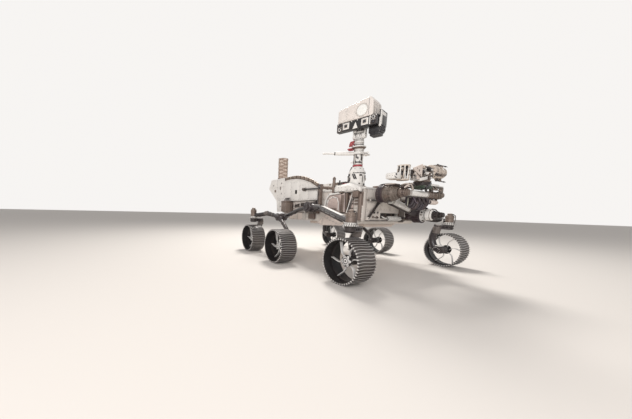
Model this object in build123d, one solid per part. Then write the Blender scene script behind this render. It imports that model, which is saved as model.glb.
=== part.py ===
# Six-wheeled planetary rover: a box body on rocker and bogie arms, a finned power unit at the back,
# a camera mast at the front right corner and a five-jointed arm folded across the front.
# Millimetres. X is forward, Y is to the rover's left, Z is up and the ground is Z = 0.
# Stations along X are counted from the middle axle, and put() moves the finished piece so that
# the origin lies on the ground below the middle of the whole rover.
# Slim bars and pipes have eight flat sides, so that so many of them stay light.

from build123d import *
from math import atan2, cos, hypot, radians, sin
import os

os.makedirs("parts", exist_ok=True)

# The rover as a whole
CENTRE_X = 49.8           # station of the middle of the whole length
BODY_REAR = -900.0        # stations of the body's ends
BODY_FRONT = 1000.0
BODY_HALF = 600.0         # half the body's width
BODY_BOTTOM = 660.0
BODY_TOP = 1120.0
DECK = 20.0               # thickness of the deck plate
DECK_TOP = BODY_TOP + DECK
DECK_LIP = 10.0           # the deck stands out past the body's walls
DECK_SIDE = BODY_HALF + DECK_LIP
RUN_GAP = 0.5             # gap between two faces that turn on each other
SEAT_GAP = 0.3            # gap between two pieces that are bolted together
SLIM_SIDES = 8
TUBE_SIDES = 12
DRUM_SIDES = 24

# Wheels
WHEEL_TIP = 262.5         # radius over the grousers
GROUSER = 9.0             # height of a grouser
GROUSERS = 48
GROUSER_HALF_DEG = 1.5    # half the angle that a grouser's foot takes
SKIN = 5.0                # thickness of the wheel's skin
WALL_SIDES = 24           # flats of the skin's inner wall
WHEEL_WIDTH = 280.0
SPOKE_RING_WIDTH = 30.0   # ring inside the skin that carries the spokes
SPOKE_RING = 12.0
SPOKES = 6
SPOKE_WIDTH = 40.0
SPOKE_BOW = 34.0          # how far a spoke bows out of the straight line
SPOKE_ROOT = 12.0         # thickness of a spoke at the hub and at the ring
SPOKE_TIP = 7.0
HUB_R = 64.0              # radius over the hub flange's lobes
HUB_NECK_R = 50.0         # radius between the lobes, and of the barrel behind the flange
HUB_FLANGE = 16.0
HUB_WIDTH = 60.0
HUB_BORE = 24.0
HUB_OUT = 40.0            # the hub's outer face stands this far out from the wheel's middle
AXLE_Z = WHEEL_TIP

# Where the wheels stand: station, distance from the middle plane
FRONT_AXLE = (1250.0, 1120.0)
MIDDLE_AXLE = (0.0, 1220.0)
REAR_AXLE = (-1150.0, 1120.0)
WHEELS = {
    # name: station, side distance, side (-1 right, 1 left)
    "front_right": (*FRONT_AXLE, -1),
    "front_left": (*FRONT_AXLE, 1),
    "middle_right": (*MIDDLE_AXLE, -1),
    "middle_left": (*MIDDLE_AXLE, 1),
    "rear_right": (*REAR_AXLE, -1),
    "rear_left": (*REAR_AXLE, 1),
}

# Drive motors and steering legs
MOTOR_R = 56.0
MOTOR_IN = 250.0          # the motor's inner face, in from the wheel's middle
MOTOR_SIDES = 24
LEG_IN = 205.0            # the leg's line, in from the wheel's middle
LEG_HALF = (38.0, 52.0)    # half the strut's thickness and half its breadth
CUFF_R = 50.0             # cuff that holds the leg's upper end
LEG_BACK = 118.0          # how far the leg bows back from the axle
LEG_TOP = 655.0           # top face of the leg, under the steering actuator
LEG_BAR = 70.0            # depth of the leg's top bar
KNUCKLE_R = 66.0
KNUCKLE_END_R = 46.0      # the top bar narrows to this at the cuff
STEER_FLANGE_R = 90.0
STEER_FLANGE = 12.0
STEER_R = 48.0
STEER_CAP_R = 34.0
STEER_CAP = 30.0
STEER_TOP = {"front": 835.0, "rear": 860.0}

# Rocker and bogie
ROCKER_PIVOT = (150.0, 700.0, 880.0)     # station, side, height of the pivot's inner face
ROCKER_HUB_R = 82.0
ROCKER_HUB_LENGTH = 150.0
ROCKER_CAP_R = 52.0
ROCKER_CAP = 24.0
ROCKER_R = 36.0
COLLAR_R = 72.0           # collar that holds a steering actuator
COLLAR_LOW = LEG_TOP + STEER_FLANGE + 1.0
COLLAR_TOP = 752.0
ARM_END = COLLAR_LOW + 42.0              # height of a tube's middle where it meets its collar
BOGIE_PIVOT = (-500.0, 870.0, 700.0)
BOGIE_HUB_R = 68.0
BOGIE_HUB_LENGTH = 110.0
BOGIE_R = 34.0
PIVOT_SHAFT_R = 40.0
SOCKET = 10.0             # a socket stands this far proud of the tube that it holds
SOCKET_LENGTH = 90.0

# Mast
MAST = (770.0, 100.0 - BODY_HALF)        # station and side of the mast's axis
MAST_FOOT_HALF = 140.0    # half the side of the foot plate
MAST_FOOT = 14.0
CANISTER_R = 110.0
CANISTER_TOP = DECK_TOP + 210.0
CONE_TOP = CANISTER_TOP + 80.0
BAND = 20.0               # height of the red band
MAST_R = 58.0
PAN_Z = CONE_TOP + 330.0  # plane on which the neck turns
HAT_LOW = PAN_Z - 105.0   # the hat below the pan drum
HAT_TOP = HAT_LOW + 41.0
HAT_R = 94.0
PAN_R = 62.0
NECK_R = 60.0
TILT_Z = PAN_Z + 75.0
TILT_R = 40.0
TILT_HALF = 70.0          # half the length of the tilt actuator in the neck
TILT_LUG = 16.0           # the head's lugs reach this far past the tilt actuator
HEAD_TURN = -77.0         # the head looks to the rover's right, as parked
HEAD_BOTTOM = TILT_Z + 70.0
HEAD_MIDDLE = HEAD_BOTTOM + 115.0
HEAD_HEIGHT = 230.0       # of the white box over the camera bar
HEAD_TOP = HEAD_MIDDLE + HEAD_HEIGHT

# Arm
SHOULDER = (1122.0, 250.0)               # station and side of the azimuth axis
SHOULDER_R = 62.0
SHOULDER_LOW = 735.0
SHOULDER_HIGH = 975.0
ELEVATION_Z = 802.0
DRUM_BACK = SHOULDER[0] + 68.0           # stations of the elevation drum's back and front faces
DRUM_FRONT = DRUM_BACK + 106.0
DRUM_R = 114.0
DRUM_RIM = 14.0           # width of the ribbed rim at each edge of a drum
ACTUATOR_R = 72.0         # white elevation actuator in front of its drum
MOTOR_BACK = DRUM_FRONT + 129.0          # station where the elevation actuator ends and its motor starts
MOTOR_TIP = MOTOR_BACK + 120.0
ELBOW_BACK = DRUM_BACK - 65.0            # stations along the elbow drum and its housing
ELBOW_SHOULDER = ELBOW_BACK + 185.0
ELBOW_SPLIT = ELBOW_SHOULDER + 62.0      # plane on which the forearm turns on the elbow
ELBOW_TIP = ELBOW_SPLIT + 108.0
HOUSING = (ELBOW_SPLIT - 10.0, ELBOW_SPLIT + 86.0)   # the wrist housing's ends
HOUSING_R = 50.0
ELBOW = (-460.0, 1055.0)                 # side and height of the elbow axis
WRIST = (270.0, 1055.0)                  # side and height of the wrist axis
UPPER_ARM_R = 47.0
FOREARM_R = 38.0
FOREARM_X = ELBOW_SPLIT + 38.0
FOREARM_SPLIT = 40.0      # side at which the white tube ends and the wrist's dark body starts
WRIST_BODY_R = 47.0
CHEEK = 18.0              # thickness of the wrist bracket's cheeks
TURRET = (FOREARM_X + 28.0, -140.0)      # station and side of the turret's axis
TURRET_BASE = 1190.0
TURRET_R = 94.0


def along(start, end):
    """The plane at a bar's start that looks along it, and the bar's length."""
    foot, tip = Vector(*start), Vector(*end)
    return Plane(origin=foot, z_dir=tip - foot), (tip - foot).length


def rod(start, end, radius, end_radius=None):
    """A round bar from one point to another, or a cone where the end has its own radius."""
    plane, length = along(start, end)
    seat = (Align.CENTER, Align.CENTER, Align.MIN)
    if end_radius is None:
        return plane * Cylinder(radius, length, align=seat)
    return plane * Cone(radius, end_radius, length, align=seat)


def slim(start, end, radius, sides=SLIM_SIDES):
    """A slim bar with flat sides."""
    plane, length = along(start, end)
    return plane * extrude(RegularPolygon(radius, sides), length)


def upright(place, low, high, radius):
    return rod((*place, low), (*place, high), radius)


def along_x(x0, x1, side, height, radius, end_radius=None):
    return rod((x0, side, height), (x1, side, height), radius, end_radius)


def block(low, high):
    """A box between two corners."""
    size = [h - l for l, h in zip(low, high)]
    middle = [(h + l) / 2 for l, h in zip(low, high)]
    return Pos(*middle) * Box(*size)


def pipe(points, radius, sides=None):
    """A tube along straight runs with mitred corners, round or with flat sides."""
    path = Polyline(*points)
    section = Circle(radius) if sides is None else RegularPolygon(radius, sides)
    return sweep(Plane(origin=path @ 0, z_dir=path % 0) * section, path=path,
                 transition=Transition.RIGHT)


def side_plate(outline, inner, outer):
    """A plate drawn in the X-Z plane, between two distances from the middle plane."""
    face = make_face(Polyline([(x, inner, z) for x, z in outline], close=True))
    return extrude(face, amount=outer - inner, dir=(0, 1, 0))


def strip(points, thicknesses):
    """A bent strip drawn in the X-Y plane along a line, with its thickness at each point."""
    left, right = [], []
    for at, ((x, y), thick) in enumerate(zip(points, thicknesses)):
        before, after = points[max(at - 1, 0)], points[min(at + 1, len(points) - 1)]
        run_x, run_y = after[0] - before[0], after[1] - before[1]
        half = thick / 2 / hypot(run_x, run_y)
        left.append((x - run_y * half, y + run_x * half))
        right.append((x + run_y * half, y - run_x * half))
    return make_face(Polyline(left + right[::-1], close=True))


def other_side(shape):
    return mirror(shape, about=Plane.XZ)


def put(name, *solids):
    """Writes one node, moved so that the origin is below the rover's middle."""
    moved = [Pos(-CENTRE_X, 0, 0) * solid for solid in solids]
    shape = moved[0] if len(moved) == 1 else Compound(children=moved)
    export_step(shape, f"parts/{name}.step")


# Body: box with a cut-up tail, a tool bay in front and a recess in each side for the pods
TAIL_RUN, TAIL_RISE, CHIN = 260.0, 150.0, 45.0
BAY = (-265.0, 150.0, 735.0, 812.0)      # right, left, bottom and top of the tool bay
BAY_DEPTH = 130.0
RECESS = (352.0, 950.0, 790.0, 1085.0)   # rear, front, bottom and top of the side recess
RECESS_DEPTH = 45.0
body = side_plate([
    (BODY_REAR, BODY_TOP), (BODY_FRONT, BODY_TOP), (BODY_FRONT, BODY_BOTTOM + CHIN),
    (BODY_FRONT - CHIN, BODY_BOTTOM), (BODY_REAR + TAIL_RUN, BODY_BOTTOM),
    (BODY_REAR, BODY_BOTTOM + TAIL_RISE)], -BODY_HALF, BODY_HALF)
body -= block((BODY_FRONT - BAY_DEPTH, BAY[0], BAY[2]), (BODY_FRONT + 1, BAY[1], BAY[3]))
recess = block((RECESS[0], -BODY_HALF - 1, RECESS[2]), (RECESS[1], -BODY_HALF + RECESS_DEPTH, RECESS[3]))
body -= recess
body -= other_side(recess)
put("body_shell", body)

# Deck plate with a bolt pattern for a stranger's instrument
DECK_BOLTS = (200.0, 150.0)
DECK_BOLT_R = 4.25
DECK_BOLT_AT = (600.0, 250.0)
deck = block((BODY_REAR - DECK_LIP, -DECK_SIDE, BODY_TOP), (BODY_FRONT + DECK_LIP, DECK_SIDE, DECK_TOP))
for step_x in (-0.5, 0.5):
    for step_y in (-0.5, 0.5):
        at = (DECK_BOLT_AT[0] + step_x * DECK_BOLTS[0], DECK_BOLT_AT[1] + step_y * DECK_BOLTS[1])
        deck -= upright(at, BODY_TOP, DECK_TOP, DECK_BOLT_R)
put("deck_plate", deck)

# Keel box under the body, and the wedge-shaped fairing at the foot of each side wall
KEEL = 55.0
KEEL_PLAN = (-350.0, 820.0, 330.0)       # rear, front and half width
FAIRING = 36.0
keel = block((KEEL_PLAN[0], -KEEL_PLAN[2], BODY_BOTTOM - KEEL), (KEEL_PLAN[1], KEEL_PLAN[2], BODY_BOTTOM))
fairing = side_plate(
    [(170, 640), (310, 740), (360, 780), (690, 700), (670, 620), (270, 600)],
    -BODY_HALF - FAIRING, -BODY_HALF)
put("belly_box", keel, fairing, other_side(fairing))

# Side panels that stand above the deck as low walls, their top edge falling in a long curve
PANEL_OUT = 40.0
PANEL_LOW = 1000.0
PANEL_STEPS = 4
PANEL_REAR = (-785.0, 1385.0)            # station and height of the edge's corners
PANEL_CREST = (-600.0, 1392.0)
PANEL_BOW = (-180.0, 1342.0)
PANEL_FRONT = (160.0, 1195.0)
panel_curve = ThreePointArc(PANEL_CREST, PANEL_BOW, PANEL_FRONT)
panel_edge = [PANEL_REAR] + [
    tuple(panel_curve @ (step / PANEL_STEPS))[:2] for step in range(PANEL_STEPS + 1)]
side_panel = side_plate(
    [(PANEL_REAR[0], PANEL_LOW)] + panel_edge + [(PANEL_FRONT[0], PANEL_LOW)],
    -DECK_SIDE - PANEL_OUT, -DECK_SIDE)
put("side_panels", side_panel, other_side(side_panel))

# Heat exchanger plates beside the power unit
EXCHANGER_FRONT = PANEL_REAR[0] - 2
exchanger = side_plate([
    (-1363, 1270), (-1270, 1445), (EXCHANGER_FRONT, 1445), (EXCHANGER_FRONT, 800), (-1020, 790),
    (-1050, 1010)], -DECK_SIDE - PANEL_OUT, -DECK_SIDE)
put("heat_exchangers", exchanger, other_side(exchanger))

# Coolant tubes stacked along the panels' upper edge
TUBE_R = 9.0
TUBES = 3
(steep_x, steep_z), (foot_x, foot_z) = panel_edge[-2:]
steepest = cos(atan2(steep_z - foot_z, foot_x - steep_x))
tubes = []
for row in range(TUBES):
    lift = ((2 * row + 1) * TUBE_R + SEAT_GAP * (row + 1)) / steepest
    line = [(x, -DECK_SIDE - PANEL_OUT / 2, z + lift) for x, z in panel_edge]
    tubes.append(pipe(line, TUBE_R, SLIM_SIDES))
put("coolant_tubes", *tubes, *[other_side(tube) for tube in tubes])

# Power unit: a cylinder with eight cropped fins and a ring at each end, tipped up to the back
POWER_FOOT = (-1016.0, 0.0, 960.0)
POWER_TILT = 30.0
POWER_LENGTH = 380.0
POWER_CORE_R = 150.0
POWER_FIN_R = 260.0
POWER_FINS = 8
POWER_FIN = 10.0
POWER_CROP = 45.0         # cut off each fin's corners
POWER_CAP_R = 100.0
POWER_CAP = 26.0
POWER_BOSS_R = 85.0
power_plane = Plane(
    origin=POWER_FOOT, z_dir=(-cos(radians(POWER_TILT)), 0, sin(radians(POWER_TILT))))
fin_outline = [
    (0, 0), (POWER_FIN_R - POWER_CROP, 0), (POWER_FIN_R, POWER_CROP),
    (POWER_FIN_R, POWER_LENGTH - POWER_CROP), (POWER_FIN_R - POWER_CROP, POWER_LENGTH), (0, POWER_LENGTH)]
unit = extrude(RegularPolygon(POWER_CORE_R, 2 * POWER_FINS), POWER_LENGTH)
unit += Pos(0, 0, POWER_LENGTH) * extrude(RegularPolygon(POWER_CAP_R, 2 * POWER_FINS), POWER_CAP)
fin = side_plate(fin_outline, -POWER_FIN / 2, POWER_FIN / 2)
for turn in range(POWER_FINS):
    unit += Rot(0, 0, 360 * (turn + 0.5) / POWER_FINS) * fin
boss_z = POWER_FOOT[2] - 30
unit = power_plane * unit
unit += rod((BODY_REAR, 0, boss_z), (POWER_FOOT[0] - 20, 0, boss_z), POWER_BOSS_R)
put("power_unit", unit)

# Relay antenna: a drum on a braced post at the right rear corner
ANTENNA = (-1010.0, 55.0 - BODY_HALF)
ANTENNA_R = 95.0
ANTENNA_LOW = 1460.0
ANTENNA_TOP = 1850.0
POST_R = 28.0
POST_FOOT = 50.0
BRACES = 4
post_low = BODY_TOP - SEAT_GAP
antenna = block((ANTENNA[0] - POST_FOOT, ANTENNA[1] - POST_FOOT, BODY_TOP - 25),
                (BODY_REAR, ANTENNA[1] + POST_FOOT, post_low))
antenna += slim((*ANTENNA, post_low), (*ANTENNA, ANTENNA_LOW), POST_R)
antenna += upright(ANTENNA, ANTENNA_LOW, ANTENNA_TOP, ANTENNA_R)
for turn in range(BRACES):
    way = radians(360 * (turn + 0.5) / BRACES)
    reach = ANTENNA_R - 16
    foot = (ANTENNA[0] + 10 * cos(way), ANTENNA[1] + 10 * sin(way), ANTENNA_LOW - 120)
    antenna += slim(foot, (ANTENNA[0] + reach * cos(way), ANTENNA[1] + reach * sin(way), ANTENNA_LOW + 2), 9, 6)
put("relay_antenna", antenna)

# Dish antenna: base on the deck, turning gimbal, hinged six-sided plate
DISH = (-250.0, 200.0)
DISH_BASE_R = 60.0
DISH_TURN_Z = DECK_TOP + 60.0
DISH_RING = 35.0
DISH_HINGE_Z = DISH_TURN_Z + 65.0
DISH_HINGE_R = 20.0
DISH_YOKE = 22.0          # half the width of the gimbal's head
DISH_EAR = 12.0
DISH_R = 150.0
DISH_LIFT = 24.0
DISH_THICK = 22.0
put("dish_base", slim((*DISH, DECK_TOP), (*DISH, DISH_TURN_Z), DISH_BASE_R, 16))
gimbal = slim((*DISH, DISH_TURN_Z + RUN_GAP), (*DISH, DISH_TURN_Z + DISH_RING), DISH_BASE_R - 6, 16)
gimbal += block((DISH[0] - 20, DISH[1] - DISH_YOKE, DISH_TURN_Z + DISH_RING - 1),
                (DISH[0] + 20, DISH[1] + DISH_YOKE, DISH_HINGE_Z))
gimbal += rod((DISH[0], DISH[1] - DISH_YOKE, DISH_HINGE_Z), (DISH[0], DISH[1] + DISH_YOKE, DISH_HINGE_Z),
              DISH_HINGE_R)
put("dish_gimbal", gimbal)
dish = extrude(Pos(DISH[0] - DISH_R - 24, DISH[1], DISH_HINGE_Z + DISH_LIFT) * RegularPolygon(DISH_R, 6),
               DISH_THICK)
for side in (-1, 1):
    near, far = DISH[1] + side * (DISH_YOKE + RUN_GAP), DISH[1] + side * (DISH_YOKE + DISH_EAR)
    low, high = min(near, far), max(near, far)
    dish += rod((DISH[0], low, DISH_HINGE_Z), (DISH[0], high, DISH_HINGE_Z), DISH_HINGE_R)
    dish += block((DISH[0] - 90, low, DISH_HINGE_Z), (DISH[0], high, DISH_HINGE_Z + 20))
    dish += block((DISH[0] - 90, low, DISH_HINGE_Z), (DISH[0] - 60, high, DISH_HINGE_Z + DISH_LIFT + 6))
put("dish_plate", dish)

# Front panel round the tool bay, with two small slots, a handrail and a diagonal brace
FRONT_PANEL = 12.0
FRONT_SIDES = (-560.0, 165.0)
RAIL_R = 9.0
BRACE_R = 14.0
front_out = BODY_FRONT + FRONT_PANEL
front = block((BODY_FRONT, FRONT_SIDES[0], BODY_BOTTOM + CHIN + 5), (front_out, FRONT_SIDES[1], BODY_TOP - 4))
front -= block((BODY_FRONT - 1, BAY[0], BAY[2]), (front_out + 1, BAY[1], BAY[3]))
for low, high in ((-470.0, -370.0), (-340.0, -300.0)):
    front -= block((BODY_FRONT + 4, low, 800), (front_out + 1, high, 830))
for side in (FRONT_SIDES[0] + 30, -290.0):
    front += block((front_out - 1, side - 10, 960), (front_out + 30, side + 10, 990))
rail_x = front_out + 16
front += slim((rail_x, FRONT_SIDES[0] + 10, 975), (rail_x, -270, 975), RAIL_R)
front += block((front_out - 1, FRONT_SIDES[0], 712), (front_out + 30, FRONT_SIDES[0] + 40, 752))
front += slim((rail_x, FRONT_SIDES[0] + 15, 725), (rail_x, -320, 965), BRACE_R)
put("front_panel", front)

# Shoulder bracket: two lugs on the body's front that hold the azimuth drum
LUG = 22.0
LUG_HALF = 45.0
LUG_R = 50.0
LUG_FOOT_HALF = 60.0
lugs = block((BODY_FRONT, SHOULDER[1] - LUG_FOOT_HALF, SHOULDER_LOW - LUG - 30),
             (BODY_FRONT + 6, SHOULDER[1] + LUG_FOOT_HALF, SHOULDER_HIGH + LUG + 20))
for low in (SHOULDER_LOW - LUG, SHOULDER_HIGH):
    lugs += block((BODY_FRONT, SHOULDER[1] - LUG_HALF, low), (SHOULDER[0], SHOULDER[1] + LUG_HALF, low + LUG))
    lugs += upright(SHOULDER, low, low + LUG, LUG_R)
put("shoulder_bracket", lugs)

# Sides: equipment boxes, the hood over the right front corner, the pods in their recesses
equipment = block((-720, -BODY_HALF - 150, 800), (-560, -BODY_HALF, 995))
equipment += block((-735, -BODY_HALF - 110, 780), (-545, -BODY_HALF, 800))
put("equipment_boxes", equipment, other_side(equipment))
HOOD_OUT = 70.0
HOOD_LOW = BODY_TOP - 36.0
HOOD_CHAMFER = 30.0
hood = side_plate(
    [(530, HOOD_LOW), (530, HOOD_LOW + 91), (790, HOOD_LOW + 121), (965, HOOD_LOW + 51), (965, HOOD_LOW)],
    -DECK_SIDE - HOOD_OUT, -DECK_SIDE)
hood = chamfer(hood.faces().sort_by(Axis.Y)[0].edges(), HOOD_CHAMFER)
put("corner_cover", hood)
POD_OUT = 60.0
POD_BOSS = 95.0
pod_low = -BODY_HALF + RECESS_DEPTH
pod = side_plate(
    [(372, 810), (366, 920), (392, 1000), (450, 1055), (710, 1078), (730, 810)], -BODY_HALF - POD_OUT, pod_low)
pod = chamfer(pod.faces().sort_by(Axis.Y)[0].edges(), 14)
pod += side_plate(
    [(440, 830), (436, 930), (470, 995), (540, 1025), (620, 1010), (655, 940), (655, 830)],
    -BODY_HALF - POD_BOSS, -BODY_HALF - POD_OUT)
put("side_pods", pod, other_side(pod))

# Deck edge: corner post under the mast and the slender post behind the hood
CORNER_POST_R = 27.0
DECK_POST_R = 22.0
CORNER_POST = (962.0, -BODY_HALF - CORNER_POST_R - SEAT_GAP)
DECK_POST = (486.0, -DECK_SIDE - DECK_POST_R - SEAT_GAP)
DECK_POST_TOP = 1300.0
corner_post = slim((*CORNER_POST, 705), (*CORNER_POST, 1050), CORNER_POST_R, 12)
deck_post = slim((*DECK_POST, 1066), (*DECK_POST, DECK_POST_TOP), DECK_POST_R, 12)
deck_post += Pos(*DECK_POST, DECK_POST_TOP) * extrude(RegularPolygon(DECK_POST_R, 12), 20, taper=30)
put("edge_posts", corner_post, deck_post)

# Differential: a bar across the deck, a link down to each rocker and a rod with a ball end
DIFF_X = 262.0
DIFF_Z = DECK_TOP + 45.0
DIFF_HALF = BODY_HALF + 75.0             # half the bar's length
DIFF_BLOCK = (35.0, 25.0, 5.0, 90.0)     # end block: half length, half width, foot and top over the deck
LINK_HALF = 28.0
LINK_SIDES = (BODY_HALF + 65.0, BODY_HALF + 105.0)
bar = upright((DIFF_X, 0), DECK_TOP, DECK_TOP + 70, 60)
bar += rod((DIFF_X, -DIFF_HALF, DIFF_Z), (DIFF_X, DIFF_HALF, DIFF_Z), 22)
for side in (-1, 1):
    out = side * (DIFF_HALF + 10)
    bar += block((DIFF_X - DIFF_BLOCK[0], out - DIFF_BLOCK[1], DECK_TOP + DIFF_BLOCK[2]),
                 (DIFF_X + DIFF_BLOCK[0], out + DIFF_BLOCK[1], DECK_TOP + DIFF_BLOCK[3]))
ball_y = -DIFF_HALF - 10
bar += slim((DIFF_X - DIFF_BLOCK[0] + 1, ball_y, DIFF_Z - 15), (-140, ball_y, DIFF_Z - 5), 11)
bar += slim((-132, ball_y, DIFF_Z - 5), (-166, ball_y, DIFF_Z - 3), 24, 12)
put("differential_bar", bar)
LUG_TOP = ROCKER_PIVOT[2] + 30
link = block((DIFF_X - LINK_HALF, -LINK_SIDES[1], LUG_TOP + SEAT_GAP),
             (DIFF_X + LINK_HALF, -LINK_SIDES[0], DECK_TOP + DIFF_BLOCK[2] - SEAT_GAP))
put("differential_links", link, other_side(link))


def socket(start, end, radius):
    """The machined socket that holds the start of a tube."""
    plane, length = along(start, end)
    tip = plane.origin + plane.z_dir * SOCKET_LENGTH
    return slim(start, tuple(tip), radius + SOCKET, TUBE_SIDES)


def rocker():
    """The right rocker: hub on its shaft, front tube to the steering, rear tube to the bogie."""
    x, y, z = ROCKER_PIVOT
    bx, by, bz = BOGIE_PIVOT
    fx, fy = FRONT_AXLE
    outer = -y - ROCKER_HUB_LENGTH
    mid = -y - ROCKER_HUB_LENGTH / 2
    front = [(x, mid, z), (x + 260, mid - 20, z - 10), (fx - 150, -fy + 50, ARM_END + 20), (fx, -fy, ARM_END)]
    rear = [(x, mid, z), (x - 260, mid - 15, z - 45), (bx, -by + ROCKER_R + SOCKET + 6, bz)]
    arm = rod((x, -BODY_HALF, z), (x, -y, z), PIVOT_SHAFT_R)
    arm += rod((x, -y, z), (x, outer, z), ROCKER_HUB_R)
    arm += rod((x, outer, z), (x, outer - ROCKER_CAP, z), ROCKER_CAP_R)
    arm += pipe(front, ROCKER_R, TUBE_SIDES) + pipe(rear, ROCKER_R, TUBE_SIDES)
    arm += socket(front[1], front[2], ROCKER_R) + socket(rear[2], rear[1], ROCKER_R)
    arm += rod((bx, -by + 80, bz), (bx, -by, bz), BOGIE_HUB_R)
    arm += upright((fx, -fy), COLLAR_LOW, COLLAR_TOP, COLLAR_R)
    arm += block((DIFF_X - DIFF_BLOCK[0], mid - 20, LUG_TOP - 60), (DIFF_X + DIFF_BLOCK[0], -LINK_SIDES[0] + 5, LUG_TOP))
    arm -= upright((fx, -fy), LEG_TOP, LEG_TOP + 400, STEER_R + SEAT_GAP)
    return arm


def bogie():
    """The right bogie: hub, rear arm to the steering actuator, front arm to the middle motor."""
    bx, by, bz = BOGIE_PIVOT
    rx, ry = REAR_AXLE
    mx, my = MIDDLE_AXLE
    inner, outer = -by - RUN_GAP, -by - BOGIE_HUB_LENGTH
    mid = (inner + outer) / 2
    rear = [(bx, mid, bz), (bx - 330, mid - 40, bz + 65), (rx + 120, -ry + 40, ARM_END + 15), (rx, -ry, ARM_END)]
    front = [(bx, mid, bz), (bx + 300, -my + 250, bz - 190), (mx - 40, -my + LEG_IN, AXLE_Z + 110),
             (mx, -my + LEG_IN, AXLE_Z)]
    arm = rod((bx, inner, bz), (bx, outer, bz), BOGIE_HUB_R)
    arm += rod((bx, outer, bz), (bx, outer - 16, bz), BOGIE_HUB_R - 24)
    arm += pipe(rear, BOGIE_R, TUBE_SIDES) + pipe(front, BOGIE_R, TUBE_SIDES)
    arm += socket(rear[1], rear[2], BOGIE_R)
    arm += upright((rx, -ry), COLLAR_LOW, COLLAR_TOP, COLLAR_R)
    arm += motor(mx, my)
    arm -= upright((rx, -ry), LEG_TOP, LEG_TOP + 400, STEER_R + SEAT_GAP)
    return arm


def motor(station, side):
    """Drive motor of a right-hand wheel, up to its hub's inner face."""
    return slim((station, -side + MOTOR_IN, AXLE_Z),
                (station, -side - HUB_OUT + HUB_WIDTH + RUN_GAP, AXLE_Z), MOTOR_R, MOTOR_SIDES)


rocker_right = rocker()
bogie_right = bogie()
put("rocker_right", rocker_right)
put("rocker_left", other_side(rocker_right))
put("bogie_right", bogie_right)
put("bogie_left", other_side(bogie_right))


def steering_actuator(station, side, top):
    """Flange, motor and cap above a steered wheel, with the steering axis through them."""
    low = LEG_TOP + RUN_GAP
    place = (station, -side)
    unit = slim((*place, low), (*place, low + STEER_FLANGE), STEER_FLANGE_R, DRUM_SIDES)
    unit += upright(place, low + STEER_FLANGE, top - STEER_CAP, STEER_R)
    return unit + slim((*place, top - STEER_CAP), (*place, top), STEER_CAP_R, DRUM_SIDES)


actuators = []
for name, (station, side) in {"front": FRONT_AXLE, "rear": REAR_AXLE}.items():
    unit = steering_actuator(station, side, STEER_TOP[name])
    actuators += [unit, other_side(unit)]
put("steering_actuators", *actuators)


def steering_leg(station, side):
    """Right-hand leg: knuckle, tapered top bar, cuff, and a strut that bows back to the motor."""
    line = -side + LEG_IN
    back = station - LEG_BACK / 2
    top_bar = make_hull([
        *(Pos(station, -side) * Circle(KNUCKLE_R)).edges(), *(Pos(back, line) * Circle(KNUCKLE_END_R)).edges()])
    low = LEG_TOP - LEG_BAR
    strut = [
        (back, line, low + 1), (station - 0.85 * LEG_BACK, line, low - 60), (station - LEG_BACK, line, low - 140),
        (station - 0.9 * LEG_BACK, line, low - 225), (station - 0.5 * LEG_BACK, line, AXLE_Z + 20),
        (station, line, AXLE_Z)]
    leg = Pos(0, 0, low) * extrude(top_bar, LEG_BAR)
    section = scale(RegularPolygon(1, SLIM_SIDES), by=(*LEG_HALF, 1))
    run = Plane(origin=strut[0], x_dir=(0, 1, 0), z_dir=Vector(*strut[1]) - Vector(*strut[0]))
    leg += sweep(run * section, path=Polyline(*strut), transition=Transition.RIGHT)
    leg += slim(strut[0], strut[1], CUFF_R, 12)
    return leg + motor(station, side)


def wheel_tread(station, side):
    """Right-hand wheel skin with its grousers."""
    root = WHEEL_TIP - GROUSER
    corners = []
    for tooth in range(GROUSERS):
        middle = 360.0 * tooth / GROUSERS
        for turn, radius in ((-GROUSER_HALF_DEG, root), (0.0, WHEEL_TIP), (GROUSER_HALF_DEG, root)):
            angle = radians(middle + turn)
            corners.append((radius * sin(angle), -radius * cos(angle)))
    ring = extrude(make_face(Polyline(corners, close=True)), WHEEL_WIDTH / 2, both=True)
    ring -= extrude(RegularPolygon(root - SKIN, WALL_SIDES), WHEEL_WIDTH / 2 + 1, both=True)
    return Pos(station, -side, AXLE_Z) * Rot(90, 0, 0) * ring


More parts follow.
